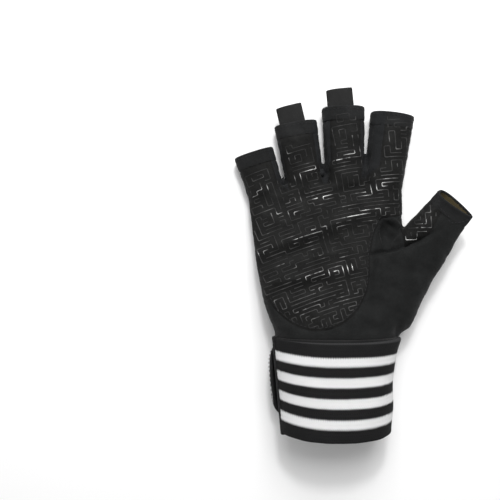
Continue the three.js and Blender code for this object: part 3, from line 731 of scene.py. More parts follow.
class GloveSkin:
    """The whole glove as one skin, cut along its seams and parted into panels.

    A cut that meets an edge within the share snap of its end moves that end instead. Cuts reach
    past the border of their panel by overlap.
    """

    places: Array
    normals: Array
    faces: list[tuple[int, ...]]
    panel: Array
    strip: Array
    free_edge: Array
    seam_edge: Array
    snap = 0.24
    overlap = 1.5

    def __init__(self, form: GloveForm, plan: PanelPlan, voxel: float) -> None:
        """Sets what the skin is made from, and the size of its faces."""
        self.form = form
        self.plan = plan
        self.voxel = voxel
        self.mesh = bmesh.new()

    def build(self) -> None:
        """Makes the skin, cuts it and gives it its seams and folds."""
        self._fuse()
        self._cut_seams()
        self._sort_faces()
        self._press_seams_and_folds()

    def _fuse(self) -> None:
        """Fuses the hand and its sleeves into one smooth skin."""
        solids = bmesh.new()
        hand = self.form.hand_sections(40)
        self._loft(solids, [hand[0].moved_on(-5), *hand], 96)
        for sleeve in self.form.sleeves:
            distances = np.linspace(sleeve.length, -4, 36)
            sections = [sleeve.at(float(d)) for d in distances]
            if sleeve.name == "thumb":
                sections.insert(0, sections[0].moved_on(-7))
            self._loft(solids, sections, 72)
        mesh = bpy.data.meshes.new("skin")
        solids.to_mesh(mesh)
        solids.free()
        blank = linked("skin", mesh)
        remesh = blank.modifiers.new("fuse", "REMESH")
        remesh.mode = "VOXEL"
        remesh.voxel_size = self.voxel
        fused = evaluated(blank)
        bpy.data.objects.remove(blank)
        self.mesh.from_mesh(fused)
        bpy.data.meshes.remove(fused)
        bpy.data.meshes.remove(mesh)
        self._relax()

    def _loft(self, target: bmesh.types.BMesh, sections: Sequence[Section], sides: int) -> None:
        """Adds a closed body through the sections to a mesh."""
        angles = np.linspace(0, 2 * math.pi, sides, endpoint=False)
        rings = [[target.verts.new(point) for point in section.outline(angles)] for section in sections]
        for ring, following in zip(rings, rings[1:]):
            for i in range(sides):
                j = (i + 1) % sides
                target.faces.new((ring[i], following[i], following[j], ring[j]))
        target.faces.new(rings[0])
        target.faces.new(reversed(rings[-1]))

    def _relax(self) -> None:
        """Smooths the skin lightly all over, and more in its concave corners."""
        places, ends = self._places_and_ends()
        count = len(places)
        degree = np.bincount(ends.ravel(), minlength=count).astype(float)

        def spread(values: Array) -> Array:
            """Returns the mean of each vertex's neighbours."""
            total = np.zeros_like(values)
            for axis in range(values.shape[1]):
                for near, far in (ends.T, ends.T[::-1]):
                    total[:, axis] += np.bincount(near, values[far, axis], count)
            return total / degree[:, None]

        for _ in range(6):
            places += 0.5 * (spread(places) - places)
        self._write(places)
        self.mesh.normal_update()
        normals = np.array([vert.normal[:] for vert in self.mesh.verts])
        hollow = np.einsum("ij,ij->i", spread(places) - places, normals) / self.voxel
        weight = np.clip(hollow / 0.05, 0, 1)[:, None]
        for _ in range(5):
            weight = np.maximum(weight, 0.92 * spread(weight))
        crotch = (places[:, 1] > 116) & (places[:, 0] < 40)
        weight[crotch] *= 0.3
        for _ in range(26):
            places += 0.5 * weight * (spread(places) - places)
        places[:, 2] = np.maximum(places[:, 2], 0.02)
        self._write(places)

    def _places_and_ends(self) -> tuple[Array, Array]:
        """Returns the places of the mesh's vertices, and the two ends of each edge."""
        self.mesh.verts.index_update()
        places = np.array([vert.co[:] for vert in self.mesh.verts])
        return places, np.array([[vert.index for vert in edge.verts] for edge in self.mesh.edges])

    def _write(self, places: Array) -> None:
        """Moves the mesh's vertices to the places."""
        for vert, place in zip(self.mesh.verts, places):
            vert.co = place

    def cut(self, line: Field, where: Field | None = None) -> None:
        """Cuts edges into the skin where a field is zero.

        Args:
            line: The field, a distance with a sign.
            where: Says where the cut is made, by default everywhere.
        """
        bm = self.mesh
        places, ends = self._places_and_ends()
        bm.verts.ensure_lookup_table()
        bm.edges.ensure_lookup_table()
        values = line(places)
        active = np.ones(len(places), bool) if where is None else where(places)
        both = active[ends[:, 0]] & active[ends[:, 1]]
        crossing = np.flatnonzero((values[ends[:, 0]] * values[ends[:, 1]] < 0) & both)
        for index in crossing:
            a, b = ends[index]
            if values[a] * values[b] >= 0:
                continue
            share = values[a] / (values[a] - values[b])
            if min(share, 1 - share) < self.snap:
                near, far = (a, b) if share < 0.5 else (b, a)
                share = min(share, 1 - share)
                bm.verts[near].co = places[near] + (places[far] - places[near]) * share
                values[near] = 0.0
        crossing = np.flatnonzero((values[ends[:, 0]] * values[ends[:, 1]] < 0) & both)
        edges = [bm.edges[i] for i in crossing]
        shares = values[ends[crossing, 0]] / (values[ends[crossing, 0]] - values[ends[crossing, 1]])
        on_line = [bm.verts[i] for i in np.flatnonzero((values == 0.0) & active)]
        for edge, share in zip(edges, shares):
            on_line.append(bmesh.utils.edge_split(edge, edge.verts[0], float(share))[1])
        bmesh.ops.connect_verts(bm, verts=on_line)

    def _cut_seams(self) -> None:
        """Cuts all seams, hems and openings."""
        plan, s = self.plan, self.plan.sizes
        self.cut(plan.past_wrist)
        self._drop(lambda p: plan.past_wrist(p) < 0)
        for i, (mouth, band_start) in enumerate(zip(plan.mouths, plan.band_starts)):
            near = partial(plan.in_sleeve, i)
            for back in (0.0, 0.45, 1.0):
                self.cut(lambda p, m=mouth, b=back: plan.to_plane(m, p) - b, near)
            self.cut(partial(plan.to_plane, band_start), near)
            self._drop(lambda p, i=i, m=mouth: plan.in_sleeve(i, p) & (plan.to_plane(m, p) < 0))
        over = lambda p: plan.above(p) > -self.overlap
        under = lambda p: plan.above(p) < self.overlap
        level = lambda p: np.abs(plan.above(p)) < s.side_strip_width / 2 + self.overlap
        off_grip = lambda p: outline_distance(plan.grip, p) > -self.overlap
        self.cut(plan.above, lambda p: outline_distance(plan.thumb_back, p) > -self.overlap)
        self.cut(partial(outline_distance, plan.grip), over)
        self.cut(partial(outline_distance, plan.thumb_back), under)
        self.cut(partial(outline_distance, plan.thumb_grip), off_grip)
        for outline in plan.strips:
            self.cut(partial(outline_distance, outline), level)
            inside = lambda p, o=outline: outline_distance(o, p) < self.overlap
            for edge in (-s.side_strip_width / 2, s.side_strip_width / 2):
                self.cut(lambda p, e=edge: plan.above(p) - e, inside)
        for seam in STRIP_SEAMS:
            self.cut(partial(plan.strip_seam, seam), partial(plan.near_strip, seam))
        for grow in (s.binding_width, 2.2, 1.2, 0.5, 0.0):
            self.cut(partial(outline_distance, plan.opening(grow)), under)
        self._drop(lambda p: (plan.above(p) < 0) & (outline_distance(plan.opening(0.0), p) < 0))

    def _middles(self) -> Array:
        """Returns the middles of the mesh's faces."""
        return np.array([face.calc_center_median()[:] for face in self.mesh.faces])

    def _drop(self, condition: Field) -> None:
        """Deletes the faces whose middles meet a condition."""
        faces = list(self.mesh.faces)
        gone = [faces[i] for i in np.flatnonzero(condition(self._middles()))]
        bmesh.ops.delete(self.mesh, geom=gone, context="FACES")

    def _sort_faces(self) -> None:
        """Reads the cut mesh back as arrays and sorts its faces into panels."""
        bm = self.mesh
        self.places, _ = self._places_and_ends()
        bm.normal_update()
        self.normals = np.array([vert.normal[:] for vert in bm.verts])
        self.faces = [tuple(vert.index for vert in face.verts) for face in bm.faces]
        middles = self._middles()
        self.panel = self.plan.panel_of(middles)
        self.strip = self.plan.on_strip(middles)
        bm.faces.index_update()
        free, seam = set(), set()
        for edge in bm.edges:
            ends = {vert.index for vert in edge.verts}
            cloths = {(self.panel[face.index], self.strip[face.index]) for face in edge.link_faces}
            if len(edge.link_faces) == 1 and edge.verts[0].co.y > SIZES.wrist_y + 1.0:
                free |= ends
            elif len(edge.link_faces) == 2 and len(cloths) == 2:
                seam |= ends
        self.free_edge = self._distance_to(sorted(free))
        self.seam_edge = self._distance_to(sorted(seam))

    def _distance_to(self, members: Sequence[int]) -> Array:
        """Returns each vertex's distance to the nearest of some vertices."""
        tree = KDTree(len(members))
        for index in members:
            tree.insert(self.places[index], index)
        tree.balance()
        return np.array([tree.find(place)[2] for place in self.places])

    def _press_seams_and_folds(self) -> None:
        """Presses seams into the skin and gives the cloth its folds and swells."""
        places, normals = self.places, self.normals
        hem = np.zeros(len(places), bool)
        bound = np.zeros(len(places), bool)
        for mask, panels in ((hem, BANDS), (bound, (Panel.OPENING_BINDING,))):
            for index in np.flatnonzero(np.isin(self.panel, [panel.number for panel in panels])):
                mask[list(self.faces[index])] = True
        facing = normals[:, 2]
        palm_side = np.clip(facing, 0, 1) * (places[:, 2] > 6)
        back_side = np.clip(-facing, 0, 1) * (places[:, 2] < 12)
        lift = np.zeros(len(places))
        for rows, side in ((PALM_CREASES, palm_side), (BACK_CREASES, back_side)):
            for from_x, from_y, to_x, to_y, width, height in rows:
                away, share = line_distance(places, (from_x, from_y), (to_x, to_y))
                fade = np.sin(math.pi * np.clip(0.12 + 0.76 * share, 0, 1)) ** 0.6
                lift += height * fade * side * bell(away / width)
        lift += 0.42 * WaveNoise(11, 17, (1.6, 1.0, 1.0)).at(places) * np.clip(facing + 0.4, 0, 1)
        lift += 0.16 * WaveNoise(12, 6.5, (1.4, 1.0, 1.0)).at(places)
        near_wrist = bell((places[:, 1] - SIZES.wrist_y) / 7)
        lift += 0.5 * near_wrist * WaveNoise(13, 9, (1.0, 2.6, 1.0)).at(places)
        calm = np.where(hem | bound, 0.5, 1.0)
        lift *= calm * np.clip((places[:, 1] - SIZES.wrist_y) / 4, 0.15, 1)
        depth = np.where(hem, 0.07, 0.6) + 0.1 * WaveNoise(14, 3.4).at(places)
        lift -= depth * bell(self.seam_edge / 0.95)
        lift = np.where(bound, lift * 0.5 + self._binding_profile(places), lift)
        lift += np.where(hem & ~bound, 0.14 * smoothstep(self.seam_edge, 0.2, 1.4), 0)
        moved = places + normals * lift[:, None]
        moved[:, 0] = self._drawn_in(moved)
        moved = self._flat_thumb(moved)
        moved[:, 2] = np.maximum(moved[:, 2], 0.62 + 0.26 * WaveNoise(15, 19).at(moved))
        self.places = moved

    def _flat_thumb(self, places: Array) -> Array:
        """Returns places once the thumb's mouth has sagged flat onto its lower lip."""
        mouth = self.plan.mouths[-1]
        _, side, up = mouth.axes()
        offset = places - mouth.centre
        away = self.plan.to_plane(mouth, places)
        across, rise = offset @ side, offset @ up
        near = (away < 24) & (np.abs(across) < mouth.half_width + 4) & (places[:, 0] > 55)
        amount = np.where(near, 1 - smoothstep(away, 0.0, 24.0), 0.0)
        amount = amount * (0.5 + 0.18 * np.clip(across / mouth.half_width, -1, 1))
        drop = amount * (rise + mouth.half_depth)
        return places - drop[:, None] * up

    @staticmethod
    def _drawn_in(places: Array) -> Array:
        """Returns places across once the heel is drawn into the cuff at the thumb side."""
        cuff = SIZES.wrap_hand_width / 2 - SIZES.cuff_inset
        freed = 0.45 + 0.55 * smoothstep(places[:, 1], SIZES.wrist_y - 3.5, SIZES.wrist_y + 3.0)
        beyond = np.maximum(np.abs(places[:, 0]) - cuff - 1.0, 0)
        return places[:, 0] - np.sign(places[:, 0]) * beyond * (1 - freed)

    def _binding_profile(self, places: Array) -> Array:
        """Returns the height of the binding's rolled edge and flat outer part."""
        from_edge = outline_distance(self.plan.opening(0.0), places)
        roll = 0.75 * np.sqrt(np.clip(1 - ((from_edge - 1.0) / 1.25) ** 2, 0, 1))
        flat = 0.32 * smoothstep(SIZES.binding_width - from_edge, 0.1, 1.2)
        return np.maximum(roll, flat)

    def cloth_of(self, *panels: Panel, keep: Field | None = None) -> PanelCloth:
        """Returns the cloth of some panels as one sheet.

        Args:
            panels: The panels to take.
            keep: Says which face middles are kept, by default all.

        Returns:
            The sheet, with its own numbering.
        """
        members = np.flatnonzero(np.isin(self.panel, [panel.number for panel in panels]))
        if keep is not None:
            middles = np.array([self.places[list(self.faces[i])].mean(axis=0) for i in members])
            members = members[keep(middles)]
        chosen = [self.faces[i] for i in members]
        used = sorted({index for face in chosen for index in face})
        number = {index: i for i, index in enumerate(used)}
        faces = [tuple(number[index] for index in face) for face in chosen]
        free_edge = self.free_edge[used]
        return PanelCloth(self.places[used], self.normals[used], faces, free_edge, self.strip[members])

    def tree(self, *panels: Panel) -> BVHTree:
        """Returns a search tree of some panels, or of the whole skin."""
        cloth = self.cloth_of(*(panels or Panel))
        return BVHTree.FromPolygons([tuple(place) for place in cloth.places], cloth.faces)


def linked(name: str, data: bpy.types.ID | None) -> Piece:
    """Returns a new object that is linked into the scene."""
    made = bpy.data.objects.new(name, data)
    bpy.context.scene.collection.objects.link(made)
    return made


def evaluated(source: Piece) -> Mesh:
    """Returns an object's mesh with its modifiers applied."""
    return bpy.data.meshes.new_from_object(source.evaluated_get(bpy.context.evaluated_depsgraph_get()))


class NodeSheet:
    """A node tree under construction."""

    def __init__(self, tree: NodeTree) -> None:
        """Starts on an empty tree."""
        self.tree = tree
        tree.nodes.clear()

    def add(self, kind: str, **settings: object) -> Node:
        """Adds a node.

        Args:
            kind: The node's type name.
            settings: Properties of the node, and values of inputs written as in_NAME.

        Returns:
            The node.
        """
        node = self.tree.nodes.new(kind)
        for key, value in settings.items():
            if not key.startswith("in_"):
                setattr(node, key, value)
        for key, value in settings.items():
            if key.startswith("in_"):
                self.feed(node, key[3:], value)
        return node

    def feed(self, node: Node, name: str, value: object) -> None:
        """Sets or links one input of a node.

        Args:
            node: The node.
            name: The input's number, or its name with _ for a space.
            value: A plain value, an output, or a node whose first output is meant.
        """
        label = name.replace("_", " ").lower()
        named = [socket for socket in node.inputs if socket.name.lower() == label and socket.enabled]
        socket = node.inputs[int(name)] if name.isdigit() else named[0]
        if isinstance(value, (Node, Socket)):
            self.tree.links.new(value.outputs[0] if isinstance(value, Node) else value, socket)
        elif socket.type == "RGBA":
            socket.default_value = (*value, 1.0)
        else:
            socket.default_value = value

    def maths(self, operation: str, *values: object) -> Socket:
        """Adds a Math node and returns its result."""
        node = self.add("ShaderNodeMath", operation=operation)
        for number, value in enumerate(values):
            self.feed(node, str(number), value)
        return node.outputs[0]

    def mix(self, factor: object, first: object, second: object) -> Socket:
        """Adds a colour Mix node and returns its result."""
        node = self.add("ShaderNodeMix", data_type="RGBA", in_0=factor, in_6=first, in_7=second)
        return node.outputs[2]

    def noise(self, vector: object, scale: float, detail: float = 2.0) -> Socket:
        """Adds a Noise Texture and returns its value."""
        return self.add("ShaderNodeTexNoise", in_Vector=vector, in_Scale=scale, in_Detail=detail).outputs[0]

    def ramp(self, value: object, low: float, high: float, first: object = 0.0, last: object = 1.0) -> Socket:
        """Adds a Map Range node and returns its result."""
        node = self.add("ShaderNodeMapRange", in_Value=value, in_From_Min=low, in_From_Max=high)
        self.feed(node, "To Min", first)
        self.feed(node, "To Max", last)
        return node.outputs[0]

    def bump(self, height: object, strength: float, distance: float) -> Socket:
        """Adds a Bump node and returns its normal."""
        node = self.add("ShaderNodeBump", in_Strength=strength, in_Distance=distance, in_Height=height)
        return node.outputs[0]


def new_sheet(
    name: str, kind: str, outputs: Mapping[str, str], **inputs: float | str
) -> tuple[NodeSheet, Outputs]:
    """Starts a node group with named sockets.

    Args:
        name: Name of the group.
        kind: GeometryNodeTree or ShaderNodeTree.
        outputs: The kind of each output.
        inputs: The kind of each input, or the number that it starts with.

    Returns:
        The sheet to build it on, and what the group is given.
    """
    tree = bpy.data.node_groups.new(name, kind)
    for side, sockets in (("INPUT", inputs), ("OUTPUT", outputs)):
        for label, value in sockets.items():
            kinds = {float: "Float", int: "Int"}
            socket_type = f"NodeSocket{kinds.get(type(value), value)}"
            socket = tree.interface.new_socket(label.replace("_", " "), in_out=side, socket_type=socket_type)
            if not isinstance(value, str):
                socket.default_value = value
    sheet = NodeSheet(tree)
    return sheet, sheet.add("NodeGroupInput").outputs


@dataclass(frozen=True)
class RepeatTree:
    """A geometry tree that lays or repeats a small shape, run once on an object and then baked."""

    tree: NodeTree

    def bake(self, name: str, source: Mesh, finish: Material, **values: float) -> Piece:
        """Runs the tree on a mesh and keeps the result as a plain mesh.

        Args:
            name: Name of the new piece.
            source: Lines or points that the tree works on.
            finish: Material of the result.
            values: The tree's named inputs, with _ for a space.

        Returns:
            The piece.
        """
        piece = linked(name, source)
        modifier = piece.modifiers.new("repeat", "NODES")
        modifier.node_group = self.tree
        chosen = {"material": finish, **{key.replace("_", " "): value for key, value in values.items()}}
        for item in self.tree.interface.items_tree:
            if item.item_type == "SOCKET" and item.in_out == "INPUT" and item.name.lower() in chosen:
                modifier[item.identifier] = chosen[item.name.lower()]
        result = evaluated(piece)
        piece.modifiers.remove(modifier)
        piece.data = result
        bpy.data.meshes.remove(source)
        return piece


def repeat_sheet(name: str, **sizes: float) -> tuple[NodeSheet, Outputs]:
    """Starts a geometry tree that takes lines or points, its own sizes and a material."""
    outputs = {"Geometry": "Geometry"}
    return new_sheet(name, "GeometryNodeTree", outputs, Geometry="Geometry", **sizes, Material="Material")


def close_tree(sheet: NodeSheet, shape: Node, given: Outputs) -> RepeatTree:
    """Ends a geometry tree: real geometry, smooth, with its material."""
    real = sheet.add("GeometryNodeRealizeInstances", in_Geometry=shape)
    smooth = sheet.add("GeometryNodeSetShadeSmooth", in_Geometry=real)
    dressed = sheet.add("GeometryNodeSetMaterial", in_Geometry=smooth, in_Material=given["Material"])
    sheet.add("NodeGroupOutput", in_Geometry=dressed)
    return RepeatTree(sheet.tree)


def ring_of(sheet: NodeSheet, sides: object, radius: object) -> Node:
    """Adds a circle."""
    return sheet.add("GeometryNodeCurvePrimitiveCircle", mode="RADIUS", in_Resolution=sides, in_Radius=radius)


def bead_tree() -> RepeatTree:
    """Returns the tree that lays a round bead along lines."""
    sheet, given = repeat_sheet("lay_bead", Radius=0.0003, Sides=8, Flatness=0.6)
    line = sheet.add("GeometryNodeMeshToCurve", in_Mesh=given["Geometry"])
    level = sheet.add("GeometryNodeSetCurveNormal", mode="Z_UP", in_Curve=line)
    ring = ring_of(sheet, given["Sides"], given["Radius"])
    size = sheet.add("ShaderNodeCombineXYZ", in_X=1.0, in_Y=given["Flatness"], in_Z=1.0)
    flat = sheet.add("GeometryNodeTransform", in_Geometry=ring, in_Scale=size)
    bead = sheet.add("GeometryNodeCurveToMesh", in_Curve=level, in_Profile_Curve=flat, in_Fill_Caps=True)
    return close_tree(sheet, bead, given)


def stitch_tree() -> RepeatTree:
    """Returns the tree that sews stitches along lines."""
    sheet, given = repeat_sheet("sew_stitches", Pitch=0.0026, Stitch_Length=0.0019, Thickness=0.00045)
    line = sheet.add("GeometryNodeMeshToCurve", in_Mesh=given["Geometry"])
    points = sheet.add("GeometryNodeCurveToPoints", mode="LENGTH", in_Curve=line, in_Length=given["Pitch"])
    thread = sheet.add("GeometryNodeMeshUVSphere", in_Segments=8, in_Rings=6, in_Radius=0.5)
    turn = sheet.add("FunctionNodeAlignRotationToVector", axis="Z", in_Vector=points.outputs["Tangent"])
    thick, length = given["Thickness"], given["Stitch Length"]
    size = sheet.add("ShaderNodeCombineXYZ", in_X=thick, in_Y=thick, in_Z=length)
    sewn = sheet.add("GeometryNodeInstanceOnPoints", in_Points=points, in_Instance=thread, in_Scale=size)
    sheet.feed(sewn, "Rotation", turn)
    return close_tree(sheet, sewn, given)


def eyelet_tree(name: str, filled: bool) -> RepeatTree:
    """Returns the tree that sets a knitted hole's rim, or its pale floor if filled, on points."""
    sheet, given = repeat_sheet(name, Hole_Width=0.0011, Hole_Length=0.0028, Cord=0.00022)
    size = sheet.add("ShaderNodeCombineXYZ", in_X=given["Hole Width"], in_Y=given["Hole Length"], in_Z=1.0)
    oval = sheet.add("GeometryNodeTransform", in_Geometry=ring_of(sheet, 10, 0.5), in_Scale=size)
    if filled:
        shape = sheet.add("GeometryNodeFillCurve", mode="NGONS", in_Curve=oval)
    else:
        cord = ring_of(sheet, 5, given["Cord"])
        shape = sheet.add("GeometryNodeCurveToMesh", in_Curve=oval, in_Profile_Curve=cord)
    turn = sheet.add("GeometryNodeInputNamedAttribute", data_type="FLOAT_VECTOR", in_Name="turn")
    rotation = sheet.add("FunctionNodeEulerToRotation", in_Euler=turn)
    placed = sheet.add("GeometryNodeInstanceOnPoints", in_Points=given["Geometry"], in_Instance=shape)
    sheet.feed(placed, "Rotation", rotation)
    return close_tree(sheet, placed, given)


def line_mesh(name: str, lines: Sequence[Array], closed: bool = False) -> Mesh:
    """Makes a mesh of lines, in metres, from points in millimetres."""
    mesh = bpy.data.meshes.new(name)
    points, edges = [], []
    for line in lines:
        first = len(points)
        points.extend((line * MM).tolist())
        edges.extend((i, i + 1) for i in range(first, len(points) - 1))
        if closed:
            edges.append((len(points) - 1, first))
    mesh.from_pydata(points, edges, [])
    return mesh


def piece_from(
    name: str,
    places: Array,
    faces: Sequence[Sequence[int]],
    finish: Material,
    flow: Array | None = None,
    second: Material | None = None,
    second_faces: Sequence[int] | Array = (),
) -> Piece:
    """Makes a smooth piece from arrays in millimetres.

    Args:
        name: Name of the piece.
        places: Its vertices.
        faces: Its faces, pointing outwards.
        finish: Its material.
        flow: A UV place in millimetres for each vertex of one side, where a pattern follows the sheet.
        second: Another material, for some of the faces.
        second_faces: The numbers of those faces.

    Returns:
        The piece, linked into the scene.
    """
    mesh = bpy.data.meshes.new(name)
    mesh.from_pydata((places * MM).tolist(), [], [tuple(face) for face in faces])
    mesh.materials.append(finish)
    if second is not None:
        mesh.materials.append(second)
        for number in second_faces:
            mesh.polygons[number].material_index = 1
    mesh.polygons.foreach_set("use_smooth", np.ones(len(mesh.polygons), bool))
    if flow is not None:
        layer = mesh.uv_layers.new(name="flow")
        corners = np.empty(len(mesh.loops), dtype=np.int32)
        mesh.loops.foreach_get("vertex_index", corners)
        side = flow.reshape(-1, 2)
        layer.data.foreach_set("uv", (side[corners % len(side)] * 0.01).ravel())
    mesh.set_sharp_from_angle(angle=math.radians(62))
    mesh.update()
    return linked(name, mesh)


def thicken(
    outside: Array, inside: Array, faces: Sequence[Sequence[int]]
) -> tuple[Array, list[tuple[int, ...]]]:
    """Closes a sheet with its inner side and a rim.

    Args:
        outside: Vertices of the outer side.
        inside: The matching vertices of the inner side.
        faces: Faces of the outer side.

    Returns:
        Vertices and faces of the closed sheet.
    """
    count = len(outside)
    directed = {(face[i], face[(i + 1) % len(face)]) for face in faces for i in range(len(face))}
    closed = [tuple(face) for face in faces]
    closed += [tuple(index + count for index in reversed(face)) for face in faces]
    closed += [(b, a, a + count, b + count) for a, b in directed if (b, a) not in directed]
    return np.concatenate([outside, inside]), closed


def hand_over(piece: Piece, slot: Slot, *nodes: str) -> None:
    """Puts a finished piece under its body and hides the CAD nodes that it stands for."""
    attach(piece, "root")
    if nodes:
        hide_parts(*nodes)
    LOG.info("%s: %d faces", piece.name, len(piece.data.polygons))


class Weave(Enum):
    """How a cloth is made, which decides its relief."""

    PLAIN = "plain"
    TWILL = "twill"
    KNIT = "knit"
    BRUSHED = "brushed"


def weave_group(weave: Weave) -> NodeTree:
    """Draws one kind of cloth's relief in a shader group.

    Args:
        weave: The kind of cloth.

    Returns:
        A group with Vector, Pitch and Fuzz, which puts out a Height.
    """
    name = f"weave_{weave.value}"
    if name in bpy.data.node_groups:
        return bpy.data.node_groups[name]
    outputs = {"Height": "Float"}
    sheet, given = new_sheet(name, "ShaderNodeTree", outputs, Vector="Vector", Pitch=1.0, Fuzz=0.5)
    maths, vector = sheet.maths, given["Vector"]
    x, y, z = sheet.add("ShaderNodeSeparateXYZ", in_Vector=vector).outputs
    turns = maths("DIVIDE", 2 * math.pi, given["Pitch"])
    u = maths("MULTIPLY", maths("MULTIPLY_ADD", z, 0.7, x), turns)
    v = maths("MULTIPLY", maths("MULTIPLY_ADD", z, 0.4, y), turns)
    if weave is Weave.PLAIN:
        pattern = maths("MULTIPLY", maths("SINE", u), maths("SINE", v))
    elif weave is Weave.TWILL:
        ribs = maths("SINE", maths("ADD", u, v))
        pattern = maths("MULTIPLY_ADD", maths("SINE", maths("MULTIPLY", v, 2.0)), 0.4, ribs)
    elif weave is Weave.KNIT:
        bend = maths("MULTIPLY_ADD", maths("SINE", v), 1.1, u)
        pattern = maths("MULTIPLY_ADD", maths("ABSOLUTE", maths("SINE", bend)), 2.0, -1.0)
    else:
        pattern = maths("MULTIPLY_ADD", sheet.noise(vector, 3.4, 5.0), 2.0, -1.0)
    fibres = maths("MULTIPLY_ADD", sheet.noise(vector, 2.1, 4.0), 2.0, -1.0)
    height = maths("ADD", maths("MULTIPLY", pattern, 0.5), maths("MULTIPLY", fibres, given["Fuzz"]))
    sheet.add("NodeGroupOutput", in_Height=height)
    return sheet.tree


def tone_group() -> NodeTree:
    """Draws worn, mottled colour in a shader group.

    Returns:
        A group with Vector, Base, Worn, Smoothest, Roughest and Relief: it puts out Color and Roughness.
    """
    if "cloth_tone" in bpy.data.node_groups:
        return bpy.data.node_groups["cloth_tone"]
    colours = {"Base": "Color", "Worn": "Color"}
    sizes = {"Smoothest": 0.6, "Roughest": 0.9, "Relief": 0.5}
    outputs = {"Color": "Color", "Roughness": "Float"}
    sheet, given = new_sheet("cloth_tone", "ShaderNodeTree", outputs, Vector="Vector", **colours, **sizes)
    fine = sheet.maths("MULTIPLY", sheet.noise(given["Vector"], 1.3, 5.0), 0.45)
    mask = sheet.maths("MULTIPLY_ADD", sheet.noise(given["Vector"], 0.09, 3.0), 0.55, fine)
    mask = sheet.maths("MULTIPLY_ADD", given["Relief"], 0.22, mask)
    colour = sheet.mix(sheet.ramp(mask, 0.34, 0.78), given["Base"], given["Worn"])
    rough = sheet.ramp(mask, 0.3, 0.75, given["Roughest"], given["Smoothest"])
    sheet.add("NodeGroupOutput", in_Color=colour, in_Roughness=rough)
    return sheet.tree


def new_material(name: str) -> tuple[Material, NodeSheet]:
    """Starts a material on an empty node sheet."""
    material = bpy.data.materials.new(name)
    material.use_nodes = True
    return material, NodeSheet(material.node_tree)


def close_material(sheet: NodeSheet, **inputs: object) -> None:
    """Ends a material with its shader, given the shader's inputs by name with _ for a space."""
    shader = sheet.add("ShaderNodeBsdfPrincipled")
    for name, value in inputs.items():
        sheet.feed(shader, name, value)
    sheet.add("ShaderNodeOutputMaterial", in_Surface=shader)


def in_millimetres(sheet: NodeSheet, on_flow: bool = False) -> Socket:
    """Returns the object's own coordinates, or the surface's own flow, in millimetres."""
    if on_flow:
        place, scale = sheet.add("ShaderNodeUVMap", uv_map="flow").outputs[0], 100.0
    else:
        place, scale = sheet.add("ShaderNodeTexCoord").outputs["Object"], 1 / MM
    return sheet.add("ShaderNodeVectorMath", operation="SCALE", in_Vector=place, in_Scale=scale).outputs[0]


def tone_of(
    sheet: NodeSheet, finish: ClothFinish | PrintFinish, vector: Socket, relief: object
) -> tuple[Socket, Socket]:
    """Returns a finish's worn colour and its roughness."""
    tone = sheet.add("ShaderNodeGroup", node_tree=tone_group(), in_Vector=vector, in_Relief=relief)
    for name in ("base", "worn", "smoothest", "roughest"):
        sheet.feed(tone, name, getattr(finish, name))
    return tone.outputs[0], tone.outputs[1]


@dataclass(frozen=True)
class ClothFinish:
    """A woven, knitted or brushed cloth in one worn colour."""

    name: str
    base: Triple
    worn: Triple
    weave: Weave
    pitch: float
    fuzz: float = 0.5
    relief: float = 0.16
    smoothest: float = 0.62
    roughest: float = 0.92
    on_flow: bool = False

    def make(self) -> Material:
        """Returns the material."""
        material, sheet = new_material(self.name)
        vector = in_millimetres(sheet, self.on_flow)
        group = weave_group(self.weave)
        weave = sheet.add("ShaderNodeGroup", node_tree=group, in_Vector=vector, in_Pitch=self.pitch)
        sheet.feed(weave, "Fuzz", self.fuzz)
        colour, rough = tone_of(sheet, self, vector, weave)
        close_material(
            sheet,
            Base_Color=colour,
            Roughness=rough,
            Normal=sheet.bump(weave, 0.8, self.relief * MM),
            Sheen_Weight=0.04,
            Sheen_Roughness=0.4,
            Specular_IOR_Level=0.14,
        )
        return material


@dataclass(frozen=True)
class PrintFinish:
    """Raised silicone print: matt where it lies low, glossier on the folds, with painted highlights there."""

    name: str = "silicone_print"
    base: Triple = (0.0056, 0.0056, 0.0055)
    worn: Triple = (0.0135, 0.0135, 0.0132)
    # Painted highlight: a near-white colour mixed into the print where it is marked, standing in for glints
    # of light on the folds.
    rubbed: Triple = (0.62, 0.62, 0.61)
    smoothest: float = 0.46
    roughest: float = 0.66
    gloss_gain: float = 0.3

    def make(self) -> Material:
        """Returns the material."""
        material, sheet = new_material(self.name)
        vector = in_millimetres(sheet)
        dents = sheet.noise(vector, 2.6)
        colour, rough = tone_of(sheet, self, vector, dents)
        # The marked amount adds gloss and also mixes in the painted highlight colour.
        polish = sheet.add("ShaderNodeAttribute", attribute_name="polish").outputs["Fac"]
        close_material(
            sheet,
            Base_Color=sheet.mix(polish, colour, self.rubbed),
            Roughness=sheet.maths("MULTIPLY_ADD", polish, -self.gloss_gain, rough),
            Normal=sheet.bump(dents, 0.5, 0.1 * MM),
            Coat_Weight=polish,
            Coat_Roughness=0.12,
            Specular_IOR_Level=0.24,
        )
        return material


